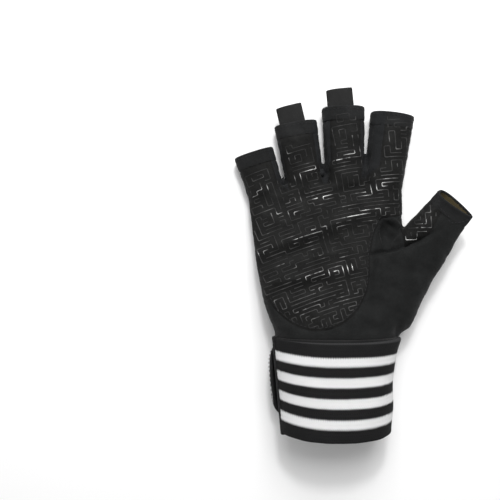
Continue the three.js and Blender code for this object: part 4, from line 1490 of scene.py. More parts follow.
@dataclass(frozen=True)
class StripeFinish:
    """Striped elastic: knitted rows across the band, with stripes that end in small teeth."""

    name: str = "striped_elastic"
    white: Triple = (0.8, 0.8, 0.8)
    grey: Triple = (0.36, 0.36, 0.37)
    black: Triple = (0.0038, 0.0038, 0.004)
    worn: Triple = (0.0095, 0.0095, 0.0098)
    # Lighter colour along the band's hand-side edge: partly its selvedge, partly a painted highlight where
    # that edge faces the light.
    edge: Triple = (0.03, 0.03, 0.031)
    edges: tuple[float, ...] = (9.0, 14.35, 21.1, 26.85, 33.65, 39.3, 46.05, 51.7)
    rib: float = 1.45
    row: float = 2.2
    tooth: float = 0.55

    def make(self) -> Material:
        """Returns the material."""
        material, sheet = new_material(self.name)
        maths, vector = sheet.maths, in_millimetres(sheet, True)
        u, v, _ = sheet.add("ShaderNodeSeparateXYZ", in_Vector=vector).outputs
        ribs = maths("SINE", maths("MULTIPLY", u, 2 * math.pi / self.rib))
        level = maths("SUBTRACT", maths("MULTIPLY_ADD", ribs, self.tooth, v), 0.35)
        shifted = maths("MULTIPLY_ADD", sheet.noise(vector, 0.35), 0.7, level)
        mask: object = 0.0
        for start, end in zip(self.edges[::2], self.edges[1::2]):
            rise, fall = (sheet.ramp(shifted, edge - 0.2, edge + 0.2) for edge in (start, end))
            mask = maths("ADD", mask, maths("SUBTRACT", rise, fall))
        rows = maths("SINE", maths("MULTIPLY", v, 2 * math.pi / self.row))
        knit = maths("MULTIPLY", ribs, maths("MULTIPLY_ADD", rows, 0.75, 0.3))
        yarn = sheet.noise(vector, 1.7, 4.0)
        shade = sheet.ramp(maths("MULTIPLY_ADD", knit, 0.5, yarn), -0.15, 0.72)
        # The hand-side edge gets the lighter edge colour: selvedge and painted highlight together.
        dark = sheet.mix(sheet.ramp(v, 1.2, 0.5), sheet.mix(shade, self.black, self.worn), self.edge)
        height = maths("MULTIPLY_ADD", yarn, 0.5, maths("MULTIPLY", knit, 0.5))
        height = maths("MULTIPLY_ADD", mask, 0.35, height)
        close_material(
            sheet,
            Base_Color=sheet.mix(mask, dark, sheet.mix(shade, self.grey, self.white)),
            Roughness=sheet.ramp(yarn, 0.0, 1.0, 0.9, 0.68),
            Normal=sheet.bump(height, 0.75, 0.26 * MM),
            Specular_IOR_Level=0.15,
        )
        return material


@dataclass(frozen=True)
class FloorFinish:
    """The pale, plain studio floor."""

    name: str = "studio_floor"
    colour: Triple = (0.97, 0.97, 0.97)

    def make(self) -> Material:
        """Returns the material."""
        material, sheet = new_material(self.name)
        grain = sheet.noise(in_millimetres(sheet), 0.02)
        tint = sheet.mix(grain, self.colour, tuple(part * 0.995 for part in self.colour))
        close_material(sheet, Base_Color=tint, Roughness=0.9, Specular_IOR_Level=0.1)
        return material


GRIP_CLOTH = ClothFinish("grip_suede", (0.0055, 0.0055, 0.0053), (0.0122, 0.0122, 0.0118), Weave.BRUSHED, 0.8)
SMOOTH_CLOTH = ClothFinish(
    "stretch_cloth", (0.006, 0.0064, 0.0064), (0.0138, 0.0144, 0.0144), Weave.KNIT, 0.7, relief=0.1
)
HEM_CLOTH = ClothFinish("hem_suede", (0.0082, 0.0084, 0.0086), (0.0165, 0.0168, 0.0172), Weave.BRUSHED, 0.8)
MESH_CLOTH = ClothFinish(
    "knitted_mesh", (0.009, 0.0105, 0.0125), (0.017, 0.0185, 0.0215), Weave.KNIT, 1.6, relief=0.3
)
STRIP_CLOTH = ClothFinish(
    "side_strip_cloth", (0.0085, 0.0091, 0.0098), (0.0162, 0.017, 0.0182), Weave.KNIT, 0.8, relief=0.12
)
BINDING_CLOTH = ClothFinish("bound_edge", (0.0105, 0.011, 0.0118), (0.0205, 0.0212, 0.0222), Weave.TWILL, 0.9)
LINING_CLOTH = ClothFinish(
    "lining_cloth", (0.062, 0.049, 0.024), (0.105, 0.084, 0.045), Weave.PLAIN, 0.9, relief=0.1
)
TAPE_CLOTH = ClothFinish(
    "woven_tape", (0.0145, 0.0145, 0.0145), (0.024, 0.024, 0.024), Weave.TWILL, 0.85, 0.3, 0.2, on_flow=True
)
LOOP_CLOTH = ClothFinish(
    "fastener_loops", (0.0115, 0.0115, 0.012), (0.023, 0.023, 0.024), Weave.BRUSHED, 0.6, 0.9, 0.3,
    on_flow=True,
)
CUFF_CLOTH = ClothFinish(
    "cuff_knit", (0.0125, 0.0125, 0.013), (0.022, 0.022, 0.022), Weave.KNIT, 1.0, 0.4, 0.2, on_flow=True
)
THREAD = ClothFinish(
    "sewing_thread", (0.017, 0.017, 0.018), (0.034, 0.034, 0.036), Weave.TWILL, 0.3, 0.2, 0.1
)
BACKING = ClothFinish("mesh_backing", (0.2, 0.19, 0.165), (0.42, 0.4, 0.35), Weave.PLAIN, 0.5, relief=0.1)

SKIN_FINISHES = {
    Panel.PALM_GRIP: (Slot.GRIP, GRIP_CLOTH),
    Panel.THUMB_GRIP: (Slot.GRIP, GRIP_CLOTH),
    Panel.THUMB_PANEL: (Slot.SMOOTH, SMOOTH_CLOTH),
    Panel.BACK_MESH: (Slot.MESH, MESH_CLOTH),
    Panel.OPENING_BINDING: (Slot.BINDING, BINDING_CLOTH),
    **{strip: (Slot.SMOOTH, STRIP_CLOTH) for strip in STRIPS},
    **{band: (Slot.SMOOTH, HEM_CLOTH) for band in BANDS},
}


@cache
def material_of(finish: ClothFinish | PrintFinish | StripeFinish | FloorFinish) -> Material:
    """Returns a finish's material, which is made once."""
    return finish.make()


@dataclass
class SewnPanels:
    """The glove's cloth panels, bands, strips and binding, with the lining inside."""

    skin: GloveSkin
    lip: float = 1.0
    turned_edge: float = 1.1
    lining_reach: float = 0.84

    def build(self) -> None:
        """Makes all pieces that are cut from the skin."""
        for panel, (slot, finish) in SKIN_FINISHES.items():
            self._panel(panel, slot, material_of(finish))
        self._lining()

    def _wall(self, panel: Panel) -> float:
        """Returns how thick a panel's cloth is."""
        if panel is Panel.OPENING_BINDING:
            return SIZES.binding_depth - 0.3
        return SIZES.cloth_wall + (0.2 if panel in BANDS else 0.0)

    def _panel(self, panel: Panel, slot: Slot, finish: Material) -> None:
        """Makes one panel as a closed sheet with rounded free edges."""
        cloth = self.skin.cloth_of(panel)
        wall = self._wall(panel)
        roll = wall * 0.46 * rounded(1 - cloth.free_edge / self.lip)
        outside = cloth.places - cloth.normals * roll[:, None]
        inside = cloth.places - cloth.normals * (wall - roll)[:, None]
        places, faces = thicken(outside, inside, cloth.faces)
        second, second_faces = None, []
        if panel is Panel.BAND_THUMB:
            second = material_of(LINING_CLOTH)
            inner = [cloth.free_edge[list(face)].min() > self.turned_edge for face in cloth.faces]
            second_faces = np.flatnonzero(inner) + len(cloth.faces)
        elif cloth.strip.any():
            second = material_of(STRIP_CLOTH)
            second_faces = np.flatnonzero(cloth.strip)
        piece = piece_from(f"cloth_{panel.value}", places, faces, finish, None, second, second_faces)
        hand_over(piece, slot, panel.value)

    def _lining(self) -> None:
        """Makes the palm's lining under the cloth, with soft creases."""
        end = SIZES.wrist_y + self.lining_reach * SIZES.palm_length
        keep = lambda p: (p[:, 1] < end) | (p[:, 0] > 0.5 * SIZES.palm_width)
        cloth = self.skin.cloth_of(Panel.PALM_GRIP, Panel.THUMB_PANEL, Panel.THUMB_GRIP, keep=keep)
        gap = SIZES.cloth_wall + SIZES.seam_gap
        creases = 0.5 + 0.5 * WaveNoise(31, 15, (1.0, 1.8, 1.0)).at(cloth.places)
        creases *= smoothstep(cloth.free_edge, 1.0, 9.0)
        outside = cloth.places - cloth.normals * (gap + creases)[:, None]
        inside = cloth.places - cloth.normals * (gap + SIZES.lining_wall + 1.1 * creases)[:, None]
        places, faces = thicken(outside, inside, cloth.faces)
        piece = piece_from("lining_palm", places, faces, material_of(LINING_CLOTH))
        hand_over(piece, Slot.LINING, "palm_lining")


# Where the print on the folds is made glossier and painted with highlights: from x, y to x, y, width and
# strength.
GLOSS_AND_HIGHLIGHT_LINES = (
    (-50, 84, -30, 92.4, 1.1, 0.45), (-30, 92.4, 26, 113.5, 1.25, 1.0), (-42, 65, -20, 69.6, 1.0, 0.35),
    (-20, 69.6, 10, 75, 1.3, 1.0), (2, 145, 17, 150.5, 1.8, 0.9), (-24, 134, -9, 142, 1.6, 0.6),
    (-13, 120.5, -4, 122, 1.3, 0.9), (-41, 110, -27, 111, 1.2, 0.6), (21, 124, 35, 131, 2.0, 0.8),
    (-53, 122, -43, 127.5, 1.1, 0.45), (-30, 116, -14, 124, 1.2, 0.3), (30, 113, 38, 107, 1.6, 0.3),
    (40, 91, 60, 97, 1.8, 0.75), (52.2, 98.9, 64.4, 113.3, 1.4, 0.25),
)

# Where the print is painted lighter, as painted pools of light: middle, reach across and along, and strength.
LIT_PRINT = (
    ((-12, 56), (34, 15), 0.045),
    ((32, 150), (14, 34), 0.045),
    ((12, 132), (36, 12), 0.014),
    ((-50, 96), (9, 34), 0.045),
    ((56, 108), (14, 14), 0.045),
)


@dataclass
class GripPrint:
    """Raised silicone lines printed on the palm and the thumb's inner side."""

    skin: GloveSkin
    pitch: Pair = (3.2, 2.4)
    fan_middle: Pair = (66.0, -184.0)
    fan_radius: float = 280.0
    radius: float = 0.3
    flatness: float = 0.6
    sink: float = 0.02
    bare_ends: tuple[float, ...] = (12.5, 15.0, 4.0, 3.4)
    room: float = 1.0
    strip_room: float = 0.9
    seam_room: float = 0.5
    longest: int = 13
    steepest: float = 0.12
    seed: int = 5

    def build(self, bead: RepeatTree) -> None:
        """Prints both grip panels, with the tree that lays a bead along lines."""
        finish = material_of(PrintFinish())
        for panel, around in ((Panel.PALM_GRIP, BANDS[:4]), (Panel.THUMB_GRIP, ())):
            lines = self._lines(self.skin.tree(panel, *around), panel is Panel.PALM_GRIP)
            mesh = line_mesh("print_lines", lines)
            sizes = {"radius": self.radius * MM, "sides": 8, "flatness": self.flatness}
            piece = bead.bake(f"print_{panel.value}", mesh, finish, **sizes)
            self._polish(piece.data)
            hand_over(piece, Slot.GRIP)

    def _place(self, node: Pair) -> Pair:
        """Returns a grid node's plan place, on arcs that fan out as the fingers do."""
        across, along = node[0] * self.pitch[0], node[1] * self.pitch[1]
        bend = 0.3 * math.sin(across / 17 + 0.6) + 0.25 * math.sin(along / 13)
        turn = (across - self.fan_middle[0]) / self.fan_radius
        reach = self.fan_radius + along + bend
        return self.fan_middle[0] + reach * math.sin(turn), self.fan_middle[1] + reach * math.cos(turn)

    def _printable(self, tree: BVHTree, node: tuple[int, int], ends_bare: bool) -> bool:
        """Says whether the print reaches a node."""
        x, y = self._place(node)
        for dx, dy in ((1, 0), (-1, 0), (0, 1), (0, -1)):
            hit, normal = cast(tree, x + dx * self.room, y + dy * self.room)
            if hit is None or normal.z < self.steepest:
                return False
        if not ends_bare:
            return True
        place, plan = np.array([[x, y, hit.z]]), self.skin.plan
        off_palm = plan.on_strip(place, self.strip_room)[0] or plan.above(place)[0] < self.seam_room
        return not (off_palm or plan.near_mouth(place, self.bare_ends))

    @staticmethod
    def _polish(mesh: Mesh) -> None:
        """Marks where the print stands on a fold, to be made glossier and painted with highlights, and where
        it is painted lighter.
        """
        places = np.empty(len(mesh.vertices) * 3)
        mesh.vertices.foreach_get("co", places)
        places = places.reshape(-1, 3) / MM
        amount = np.zeros(len(places))
        for from_x, from_y, to_x, to_y, width, strength in GLOSS_AND_HIGHLIGHT_LINES:
            away, _ = line_distance(places, (from_x, from_y), (to_x, to_y))
            amount = np.maximum(amount, strength * bell(away / width))
        patches = WaveNoise(51, 5.2, (1.7, 1.0, 1.0)).at(places)
        breaks = WaveNoise(52, 3.0).at(places)
        amount = amount * np.clip(0.62 + 0.5 * patches + 0.8 * breaks, 0, 1.15)
        # Scattered small painted highlights, as sparkles on the print.
        amount += 0.05 * smoothstep(patches, 0.5, 0.95)
        amount += 0.16 * smoothstep(breaks + 0.35 * patches, 0.85, 1.2)
        # Painted pools of light on the print.
        for middle, reach, strength in LIT_PRINT:
            offset = (places[:, :2] - middle) / reach
            amount += strength * np.exp(-(offset**2).sum(axis=1)) * (0.8 + 0.6 * patches)
        # This amount sets both the print's gloss and its painted highlight colour.
        layer = mesh.attributes.new("polish", "FLOAT", "POINT")
        layer.data.foreach_set("value", np.clip(amount, 0, 1))

    def _lines(self, tree: BVHTree, ends_bare: bool) -> list[Array]:
        """Walks the grid without crossing and lays the walks on the cloth."""
        rng = np.random.default_rng(self.seed)
        reach = range(-42, 43)
        free = {(i, j) for i in reach for j in reach if self._printable(tree, (i, j), ends_bare)}
        order = sorted(free)
        rng.shuffle(order)
        steps = ((1, 0), (-1, 0), (0, 1), (0, -1))
        lines = []
        for first in map(tuple, order):
            if first not in free:
                continue
            free.discard(first)
            walk, step = [first], steps[rng.integers(4)]
            while len(walk) < self.longest:
                here = walk[-1]
                open_steps = [s for s in steps if (here[0] + s[0], here[1] + s[1]) in free]
                if not open_steps:
                    break
                keeps_on = rng.random() < (0.72 if step[1] == 0 else 0.4)
                if step not in open_steps or not keeps_on:
                    step = open_steps[rng.integers(len(open_steps))]
                walk.append((here[0] + step[0], here[1] + step[1]))
                free.discard(walk[-1])
            if len(walk) > 1:
                lines.append(self._laid(tree, walk))
        return [line for line in lines if len(line) > 2]

    def _laid(self, tree: BVHTree, walk: Sequence[tuple[int, int]]) -> Array:
        """Rounds a walk's corners and lays it on the cloth."""
        points = np.array(walk, float)
        cut = np.empty((2 * len(points) - 2, 2))
        cut[0::2] = 0.86 * points[:-1] + 0.14 * points[1:]
        cut[1::2] = 0.14 * points[:-1] + 0.86 * points[1:]
        points = np.concatenate([points[:1], cut, points[-1:]])
        line = []
        for node in points:
            x, y = self._place(tuple(node))
            hit, normal = cast(tree, x, y)
            if hit is not None:
                line.append(tuple(hit - normal * self.sink))
        return np.array(line).reshape(-1, 3)


@dataclass
class MeshHoles:
    """The staggered slots knitted into the back."""

    skin: GloveSkin
    across: float = 6.4
    along: float = 4.0
    hole_width: float = 1.25
    hole_length: float = 2.9
    cord: float = 0.2
    bare_end: float = 15.0
    thumb_side: float = 41.0
    room: Pair = (1.4, 2.2)
    steepest: float = -0.3

    def build(self, rim: RepeatTree, floor: RepeatTree) -> None:
        """Sets the slots on the back, with the trees that make a slot's rim and its pale floor."""
        sizes = {name: getattr(self, name) * MM for name in ("hole_width", "hole_length", "cord")}
        sets = (("mesh_rims", rim, MESH_CLOTH, 0.0), ("mesh_floors", floor, BACKING, 0.03))
        for name, tree, finish, lift in sets:
            piece = tree.bake(name, self._points(lift), material_of(finish), **sizes)
            hand_over(piece, Slot.MESH)

    def _points(self, lift: float) -> Mesh:
        """Returns the slots' middles with their turns."""
        tree = self.skin.tree(Panel.BACK_MESH)
        places, turns = [], []
        for row in range(48):
            y = SIZES.wrist_y + 2 + row * self.along
            for column in range(-12, 12):
                x = (column + 0.5 * (row % 2)) * self.across + 1.5
                hit, normal = self._on_back(tree, x, y)
                if hit is None or x > self.thumb_side:
                    continue
                if self.skin.plan.near_mouth(np.array([[x, y, hit.z]]), [self.bare_end] * 4):
                    continue
                places.append(tuple((hit + normal * lift) * MM))
                along = (Vector((0, 1, 0)) - normal * normal.y).normalized()
                turns.append(tuple(Matrix((along.cross(normal), along, normal)).transposed().to_euler()))
        mesh = bpy.data.meshes.new("mesh_points")
        mesh.from_pydata(places, [], [])
        turn = mesh.attributes.new("turn", "FLOAT_VECTOR", "POINT")
        turn.data.foreach_set("vector", np.array(turns, float).ravel())
        return mesh

    def _on_back(self, tree: BVHTree, x: float, y: float) -> Hit:
        """Finds the cloth under a place, with room for a slot all round it."""
        hit = normal = None
        for across, along in ((1, 0), (-1, 0), (0, 1), (0, -1), (0, 0)):
            hit, normal = cast(tree, x + across * self.room[0], y + along * self.room[1], down=False)
            if hit is None or normal.z > self.steepest:
                return None, None
        return hit, normal


def grid_faces(rows: int, columns: int, closed: bool = False) -> list[tuple[int, int, int, int]]:
    """Returns the faces of a grid of points, row after row, closed to a tube if wanted."""
    faces = []
    for first in range(0, (rows - 1) * columns, columns):
        for i in range(columns if closed else columns - 1):
            here, beside = first + i, first + (i + 1) % columns
            faces.append((here, beside, beside + columns, here + columns))
    return faces


Grid = tuple[Array, Array, Array]


@dataclass
class WristWrap:
    """The striped elastic band, its start binding, the fastening tab and the cuff below them."""

    form: GloveForm
    start_angle: float = 163.0
    tab_end_angle: float = -182.0
    step: float = 0.75
    edge_round: float = 0.9

    def build(self) -> None:
        """Makes the wrap's pieces."""
        radius = SIZES.wrap_hand_width / 2
        gap = SIZES.seam_gap / radius
        start = math.radians(self.start_angle)
        seam = self.form.under_angle(SIZES.tab_seam_x)
        self._band(start, seam)
        self._start_binding(start + gap, start + gap + SIZES.start_binding_width / radius)
        self._tab(seam - gap, math.radians(self.tab_end_angle))
        self._cuff()

    def _rows(self, count: int) -> Array:
        """Returns distances across the band, closer together at its two edges."""
        inner = np.linspace(1.5, SIZES.wrap_length - 1.5, count)
        edge = np.array([0, 0.15, 0.4, 0.8])
        return np.concatenate([edge, inner, SIZES.wrap_length - edge[::-1]])

    def _edge_roll(self, across: Array, wall: float) -> Array:
        """Returns how far the edges roll in at distances across a band."""
        from_edge = np.minimum(across, SIZES.wrap_length - across)
        return wall * 0.42 * rounded(1 - from_edge / self.edge_round)

    def _sheet(
        self, label: tuple[str, Slot, str], finish: ClothFinish | StripeFinish, grid: Grid,
        outer: Array, inner: Array, closed: bool = False,
    ) -> None:
        """Makes one closed band.

        Args:
            label: The piece's name, its slot and its CAD node.
            finish: What it is made of.
            grid: Angle, place along the forearm and flow of each point.
            outer: How far the outer side lies under the wrap's outline.
            inner: How far the inner side does.
            closed: Whether it goes all the way round.
        """
        angle, y, flow = grid
        sides = [self.form.wrap_points(angle, y, inset).reshape(-1, 3) for inset in (outer, inner)]
        places, faces = thicken(*sides, grid_faces(*angle.shape, closed))
        hand_over(piece_from(label[0], places, faces, material_of(finish), flow), *label[1:])

    def _grid(self, angles: Array, across: Array, bow: float) -> Grid:
        """Returns angle, place along the forearm and flow of a band's grid."""
        angle, y = np.meshgrid(angles, SIZES.wrap_length / 2 - across)
        run = run_along(self.form.wrap_points(angles, np.zeros(len(angles)), 0.0))
        flow = np.stack(np.meshgrid(run, across), axis=-1)
        over = np.maximum(np.sin(angle), 0) ** 2
        drop = bow * over * (1.0 - 0.45 * (0.5 + y / SIZES.wrap_length))
        return angle, y - drop, flow

    def _band(self, start: float, end: float) -> None:
        """Makes the striped band."""
        angles = self.form.even_angles(start, end, self.step)
        across = self._rows(76)
        angle, y, flow = self._grid(angles, across, SIZES.wrap_bow)
        roll = self._edge_roll(across, SIZES.wrap_wall)[:, None]
        base = self.form.wrap_points(angle, y, 0.0)
        swell = 0.24 * WaveNoise(21, 24).at(base.reshape(-1, 3)).reshape(angle.shape)
        edge = bell(np.minimum(across, SIZES.wrap_length - across) / 2.5)[:, None]
        swell = swell + 0.22 * edge * np.sin(flow[..., 0] / 2.6)
        flare = 1.6 * bell(across / 6.5) - 1.2 * bell((across - 24) / 15)
        swell = swell + flare[:, None] * np.maximum(np.cos(angle), 0) ** 2
        little_side, thumb_side = (np.clip(side * base[..., 0] / 38, 0, 1) ** 2 for side in (-1, 1))
        top = base[..., 2] > SIZES.wrap_hand_depth / 2
        shift = 1.2 * little_side - 0.7 * thumb_side * (1 - flow[..., 1] / SIZES.wrap_length)
        flow[..., 1] += shift * top
        label = ("wrap_striped_band", Slot.ELASTIC, "wrap_band")
        grid = (angle, y, flow)
        self._sheet(label, StripeFinish(), grid, roll + 0.25 - swell, SIZES.wrap_wall - roll)

    def _start_binding(self, start: float, end: float) -> None:
        """Makes the folded binding over the band's start."""
        angles = np.linspace(end, start, 9)
        across = self._rows(60)
        angle, y, flow = self._grid(angles, across, SIZES.wrap_bow)
        round_over = rounded(np.linspace(-1, 1, 9) ** 2)
        roll = self._edge_roll(across, SIZES.wrap_wall)[:, None] + 0.8 * round_over
        label = ("wrap_start_edge", Slot.BINDING, "wrap_start_binding")
        grid = (angle, y * (1 + 2.2 / SIZES.wrap_length), flow)
        inner = SIZES.wrap_wall - 0.3 * round_over
        self._sheet(label, LOOP_CLOTH, grid, roll - SIZES.start_binding_proud, inner)

    @staticmethod
    def tab_width(share: Array) -> Array:
        """Returns the tab's width at shares of its length, as a share of the wrap's."""
        return np.sqrt(np.maximum(1 - np.maximum((share - 0.3) / 0.7, 0) ** 2, 0.08))

    def _tab(self, start: float, end: float) -> None:
        """Makes the rounded fastening tab, which stands off a little at its end."""
        angles = self.form.even_angles(start, end, self.step)
        across = self._rows(70)
        angle, y, flow = self._grid(angles, across, 0.0)
        share = np.linspace(0, 1, len(angles))
        y = y * self.tab_width(share)
        lift = SIZES.tab_lift * smoothstep(share, 0.5, 1.0)
        end_roll = SIZES.wrap_wall * 0.4 * rounded(1 - (1 - share) * (len(angles) - 1) * self.step / 1.3)
        roll = np.maximum(self._edge_roll(across, SIZES.wrap_wall)[:, None], end_roll)
        base = self.form.wrap_points(angle, y, 0.0)
        swell = 0.25 * WaveNoise(22, 21).at(base.reshape(-1, 3)).reshape(angle.shape)
        label = ("wrap_fastening_tab", Slot.FASTENER, "wrap_tab")
        inner = SIZES.wrap_wall - roll - lift
        self._sheet(label, LOOP_CLOTH, (angle, y, flow), roll + 0.25 - swell - lift, inner)

    def _cuff(self) -> None:
        """Makes the cuff that the hand's cloth is sewn to."""
        angles = np.linspace(2 * math.pi, 0, 200, endpoint=False)
        low, high = -SIZES.wrap_length / 2 + 1, SIZES.wrist_y - SIZES.cloth_overlap - 0.2
        rows = np.linspace(high - 1.6, low + 1, 46)
        along = np.concatenate([[high, high - 0.3, high - 0.8], rows, [low + 0.3, low]])
        angle, y = np.meshgrid(angles, along)
        run = np.linspace(0, 210, len(angles))
        flow = np.stack(np.meshgrid(run, along), axis=-1)
        roll = SIZES.cuff_wall * 0.45 * rounded(1 - np.minimum(high - along, along - low) / 0.9)[:, None]
        gather = 0.16 * np.sin(run * 1.9) * bell((high - along) / 5)[:, None]
        gather = gather + 0.3 * bell((high - along - 0.7) / 0.6)[:, None]
        inset = SIZES.cuff_inset
        flare = 1.6 * smoothstep(y, high - 9, high) * np.maximum(np.cos(angle), 0) ** 2
        label = ("wrist_cuff_tube", Slot.WEBBING, "wrist_cuff")
        inner = inset + SIZES.cuff_wall - roll - flare
        self._sheet(label, CUFF_CLOTH, (angle, y, flow), inset + roll - gather - flare, inner, closed=True)


@dataclass
class PullTabs:
    """The folded tape loops at the ring and middle fingers' mouths."""

    form: GloveForm
    columns: int = 23
    step: float = 0.6

    def build(self) -> None:
        """Makes one loop for each finger that has one."""
        for row in FINGER_ROWS:
            if row.tab:
                self._tab(row)

    def _tab(self, row: FingerRow) -> None:
        """Makes one folded loop, swept round the sleeve's own inner outline."""
        s = SIZES
        mouth = self.form.finger_section(row, row.reach * s.finger_reach)
        seat = s.cloth_wall + s.pull_tab_seat
        thick = 2 * s.pull_tab_wall + s.pull_tab_slit
        path, depth_way = self._fold_path(thick)
        across = np.linspace(-0.5, 0.5, self.columns) * s.pull_tab_width - s.pull_tab_shift
        share = across / (mouth.half_width - seat)
        angles = np.arccos(np.sign(share) * np.abs(share) ** (s.corner_fullness / 2))
        wave = 0.12 * WaveNoise(41, 9).at(np.stack([across, across * 0, across * 0], axis=1))
        turned = replace(mouth, heading=mouth.heading - s.pull_tab_turn, folded=False)
        layers = []
        for half in (0.5 * s.pull_tab_wall, -0.5 * s.pull_tab_wall):
            rows = []
            for (along, depth), (to_along, to_depth) in zip(path, depth_way):
                section = turned.moved_on(along + half * to_along)
                outline = section.outline(angles, seat + depth + half * to_depth)
                outline[:, 2] += wave * smoothstep(along, 0, 8)
                rows.append(outline)
            layers.append(np.concatenate(rows))
        flow = np.stack(np.meshgrid(across, np.arange(len(path)) * self.step), axis=-1)
        faces = [tuple(reversed(face)) for face in grid_faces(len(path), self.columns)]
        places, closed = thicken(*layers, faces)
        piece = piece_from(f"tape_{row.name}", places, closed, material_of(TAPE_CLOTH), flow)
        hand_over(piece, Slot.WEBBING, f"pull_tab_{row.name}")

    @staticmethod
    def _fold_path(thick: float) -> tuple[list[Pair], list[Pair]]:
        """Returns the fold's middle line and its outward directions, as along and depth."""
        s = SIZES
        radius = (thick - s.pull_tab_wall) / 2
        turn_at = s.pull_tab_reach - thick / 2
        straight = np.linspace(-s.pull_tab_tuck, turn_at, 28)
        path = [(float(a), s.pull_tab_wall / 2) for a in straight]
        out = [(0.0, -1.0)] * len(path)
        for angle in np.linspace(-90, 90, 9)[1:-1]:
            h = math.radians(angle)
            path.append((turn_at + radius * math.cos(h), thick / 2 + radius * math.sin(h)))
            out.append((math.cos(h), math.sin(h)))
        path += [(float(a), thick - s.pull_tab_wall / 2) for a in straight[::-1]]
        out += [(0.0, 1.0)] * len(straight)
        return path, out


@dataclass
class CrotchKnots:
    """The bunched rolls of cloth where neighbouring fingers part."""

    skin: GloveSkin
    rolls: tuple[tuple[float, float, float, float], ...] = (
        (-33.6, 126.8, 2.3, 2.5),
        (-32.9, 131.4, 1.5, 3.4),
        (-7.6, 137.8, 2.3, 2.5),
    )
    height: float = 1.9
    proud: float = 1.25

    def build(self) -> None:
        """Makes all rolls as one piece."""
        tree = self.skin.tree()
        ball = bmesh.new()
        bmesh.ops.create_icosphere(ball, subdivisions=4, radius=1.0)
        ball.verts.index_update()
        directions = np.array([vert.co[:] for vert in ball.verts])
        faces = [tuple(vert.index for vert in face.verts) for face in ball.faces]
        ball.free()
        places, all_faces = [], []
        for number, (x, y, across, along) in enumerate(self.rolls):
            on_cloth, _, _, _ = tree.find_nearest(Vector((x, y, 12)))
            twist = directions[:, 0] * 0.8 + directions[:, 1] * (0.5 - number) + 0.5 * directions[:, 2]
            swell = 1 + 0.12 * WaveNoise(61 + number, 1.6).at(directions)
            swell = swell - 0.24 * bell(twist / 0.2)
            middle = np.array([x, y, on_cloth.z + self.proud - self.height / 2])
            places.append(middle + directions * swell[:, None] * (across, along, self.height))
            all_faces += [tuple(index + number * len(directions) for index in face) for face in faces]
        piece = piece_from("crotch_knots", np.concatenate(places), all_faces, material_of(STRIP_CLOTH))
        hand_over(piece, Slot.SMOOTH)


# How far the thread's middle stands above the cloth, and the step at which its line is laid.
PROUD_THREAD = 0.05
THREAD_STEP = 1.2


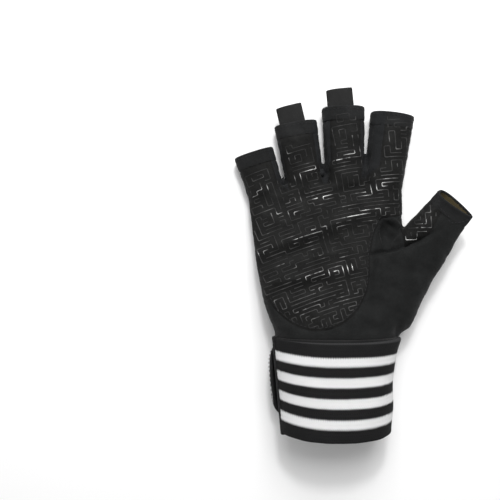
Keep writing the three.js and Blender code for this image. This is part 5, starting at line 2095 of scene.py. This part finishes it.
@dataclass
class Stitching:
    """Sewing thread along the hems, the grip palm's edge, the opening's binding and the wrap."""

    skin: GloveSkin
    form: GloveForm
    hem: float = 2.2
    topstitch: float = 1.7
    binding_stitch: float = 0.9
    start_stitch: float = 162.0
    tab_stitch: float = 2.6

    def build(self, stitches: RepeatTree) -> None:
        """Sews all seams, with the tree that repeats a stitch along lines."""
        whole = self.skin.tree()
        angles = np.linspace(0, 2 * math.pi, 90)
        hems = [self._on_cloth(whole, sleeve.at(self.hem).outline(angles)) for sleeve in self.form.sleeves]
        self._sew(stitches, "thread_hems", hems, Slot.BINDING)
        self._sew(stitches, "thread_palm", self._panel_lines(whole), Slot.GRIP)
        self._sew(stitches, "thread_opening", self._opening_lines(whole), Slot.BINDING)
        self._sew(stitches, "thread_wrap", self._wrap_lines(), Slot.FASTENER)

    def _sew(self, stitches: RepeatTree, name: str, lines: Sequence[Array], slot: Slot) -> None:
        """Sews along some lines as one piece."""
        mesh = line_mesh(name, [line for line in lines if len(line) > 1])
        piece = stitches.bake(name, mesh, material_of(THREAD))
        hand_over(piece, slot)

    @staticmethod
    def _on_cloth(tree: BVHTree, points: Array) -> Array:
        """Moves points to the nearest place on the cloth."""
        line = []
        for point in points:
            hit, normal, _, _ = tree.find_nearest(Vector(point))
            line.append(tuple(hit + normal * PROUD_THREAD))
        return np.array(line)

    @staticmethod
    def _dropped(tree: BVHTree, corners: Array, down: bool = True) -> Array:
        """Lays a plan line on the cloth from above or from below."""
        line = []
        for start, end in zip(corners, corners[1:]):
            steps = max(1, round(math.hypot(*(end - start)) / THREAD_STEP))
            for step in range(steps):
                hit, normal = cast(tree, *(start + (end - start) * step / steps), down)
                if hit is not None:
                    line.append(tuple(hit + normal * PROUD_THREAD))
        return np.array(line).reshape(-1, 3)

    def _panel_lines(self, tree: BVHTree) -> list[Array]:
        """Returns topstitching inside the grip palm's edge and the tacks between the fingers."""
        grip = self.skin.plan.grip[:47]
        run = np.gradient(grip, axis=0)
        run /= np.linalg.norm(run, axis=1, keepdims=True)
        inward = np.stack([-run[:, 1], run[:, 0]], axis=1)
        lines = [self._dropped(tree, grip + inward * self.topstitch)]
        for x, y in ((-34.2, 126.6), (-7.2, 138.2), (22.0, 139.6)):
            for side in (-0.9, -0.3, 0.3, 0.9):
                lines.append(self._dropped(tree, np.array([(x - 1.8, y + side), (x + 1.8, y + side)])))
        return lines

    def _opening_lines(self, tree: BVHTree) -> list[Array]:
        """Returns the sewing line of the opening's binding."""
        outline = self.skin.plan.opening(SIZES.binding_width - self.binding_stitch)
        kept = outline[outline[:, 1] > SIZES.wrist_y + 0.5]
        split = int(np.argmax(np.linalg.norm(np.diff(kept, axis=0), axis=1))) + 1
        return [self._dropped(tree, np.concatenate([kept[split:], kept[:split]]), down=False)]

    def _wrap_lines(self) -> list[Array]:
        """Returns the sewing lines across the band's start, at the tab's seam and round the tab."""
        half = SIZES.wrap_length / 2
        y = np.linspace(half - 1.2, 1.2 - half, 60)
        seam = self.form.under_angle(SIZES.tab_seam_x)
        lines = []
        for angle in (math.radians(self.start_stitch), seam + 0.06, seam - 0.1):
            over = max(math.sin(angle), 0) ** 2
            dropped = y - SIZES.wrap_bow * over * (0.5 - y / SIZES.wrap_length)
            lines.append(self.form.wrap_points(np.full(60, angle), dropped, -0.1))
        share = np.linspace(0.06, 0.975, 90)
        angles = seam + (math.radians(WristWrap.tab_end_angle) - seam) * share
        reach = (half - self.tab_stitch) * WristWrap.tab_width(share)
        lift = SIZES.tab_lift * smoothstep(share, 0.5, 1.0)
        for side in (1, -1):
            lines.append(self.form.wrap_points(angles, side * reach, -0.05 - lift))
        across = np.linspace(-1, 1, 24) * reach[-1]
        lines.append(self.form.wrap_points(np.full(24, angles[-1]), across, -0.05 - lift[-1]))
        return lines


@dataclass
class Studio:
    """The floor, the lights and the camera of the photograph."""

    eye: Triple = (-55.05, 86.3, 430.0)
    lens: float = 45.3
    sky: float = 0.38

    def build(self) -> None:
        """Sets the studio up."""
        corners = np.array([(-2600, -2600, 0), (2600, -2600, 0), (2600, 2600, 0), (-2600, 2600, 0)], float)
        piece_from("studio_floor", corners, [(0, 1, 2, 3)], material_of(FloorFinish()))
        self._light("key", (40, 620, 700), (0, 60, 10), 600, 7.0)
        self._light("side", (-420, 360, 700), (0, 70, 10), 480, 0.5)
        self._light("glint", (-20, 640, 720), (0, 90, 20), 100, 2.6)
        world = bpy.data.worlds.new("studio")
        bpy.context.scene.world = world
        world.use_nodes = True
        colour, strength = world.node_tree.nodes["Background"].inputs[:2]
        colour.default_value = (1.0, 1.0, 1.0, 1.0)
        strength.default_value = self.sky
        camera = linked("camera", bpy.data.cameras.new("camera"))
        camera.data.lens = self.lens
        camera.data.sensor_width = 36.0
        camera.data.clip_start = 0.01
        camera.location = Vector(self.eye) * MM
        bpy.context.scene.camera = camera
        bpy.context.scene.view_settings.view_transform = "Standard"

    @staticmethod
    def _light(name: str, place: Triple, target: Triple, size: float, power: float) -> None:
        """Hangs a square soft light that looks at a target."""
        lamp = bpy.data.lights.new(name, "AREA")
        lamp.size = size * MM
        lamp.energy = power
        holder = linked(name, lamp)
        holder.location = Vector(place) * MM
        holder.rotation_euler = (Vector(target) - Vector(place)).to_track_quat("-Z", "Y").to_euler()


def main() -> None:
    """Builds the glove and its studio."""
    logging.basicConfig(level=logging.INFO, format="%(name)s %(message)s")
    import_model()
    form = GloveForm(SIZES)
    skin = GloveSkin(form, PanelPlan(form), voxel=0.9)
    skin.build()
    LOG.info("skin: %d faces", len(skin.faces))
    SewnPanels(skin).build()
    GripPrint(skin).build(bead_tree())
    MeshHoles(skin).build(eyelet_tree("mesh_rim", False), eyelet_tree("mesh_floor", True))
    WristWrap(form).build()
    PullTabs(form).build()
    CrotchKnots(skin).build()
    Stitching(skin, form).build(stitch_tree())
    Studio().build()


if __name__ == "__main__":
    main()
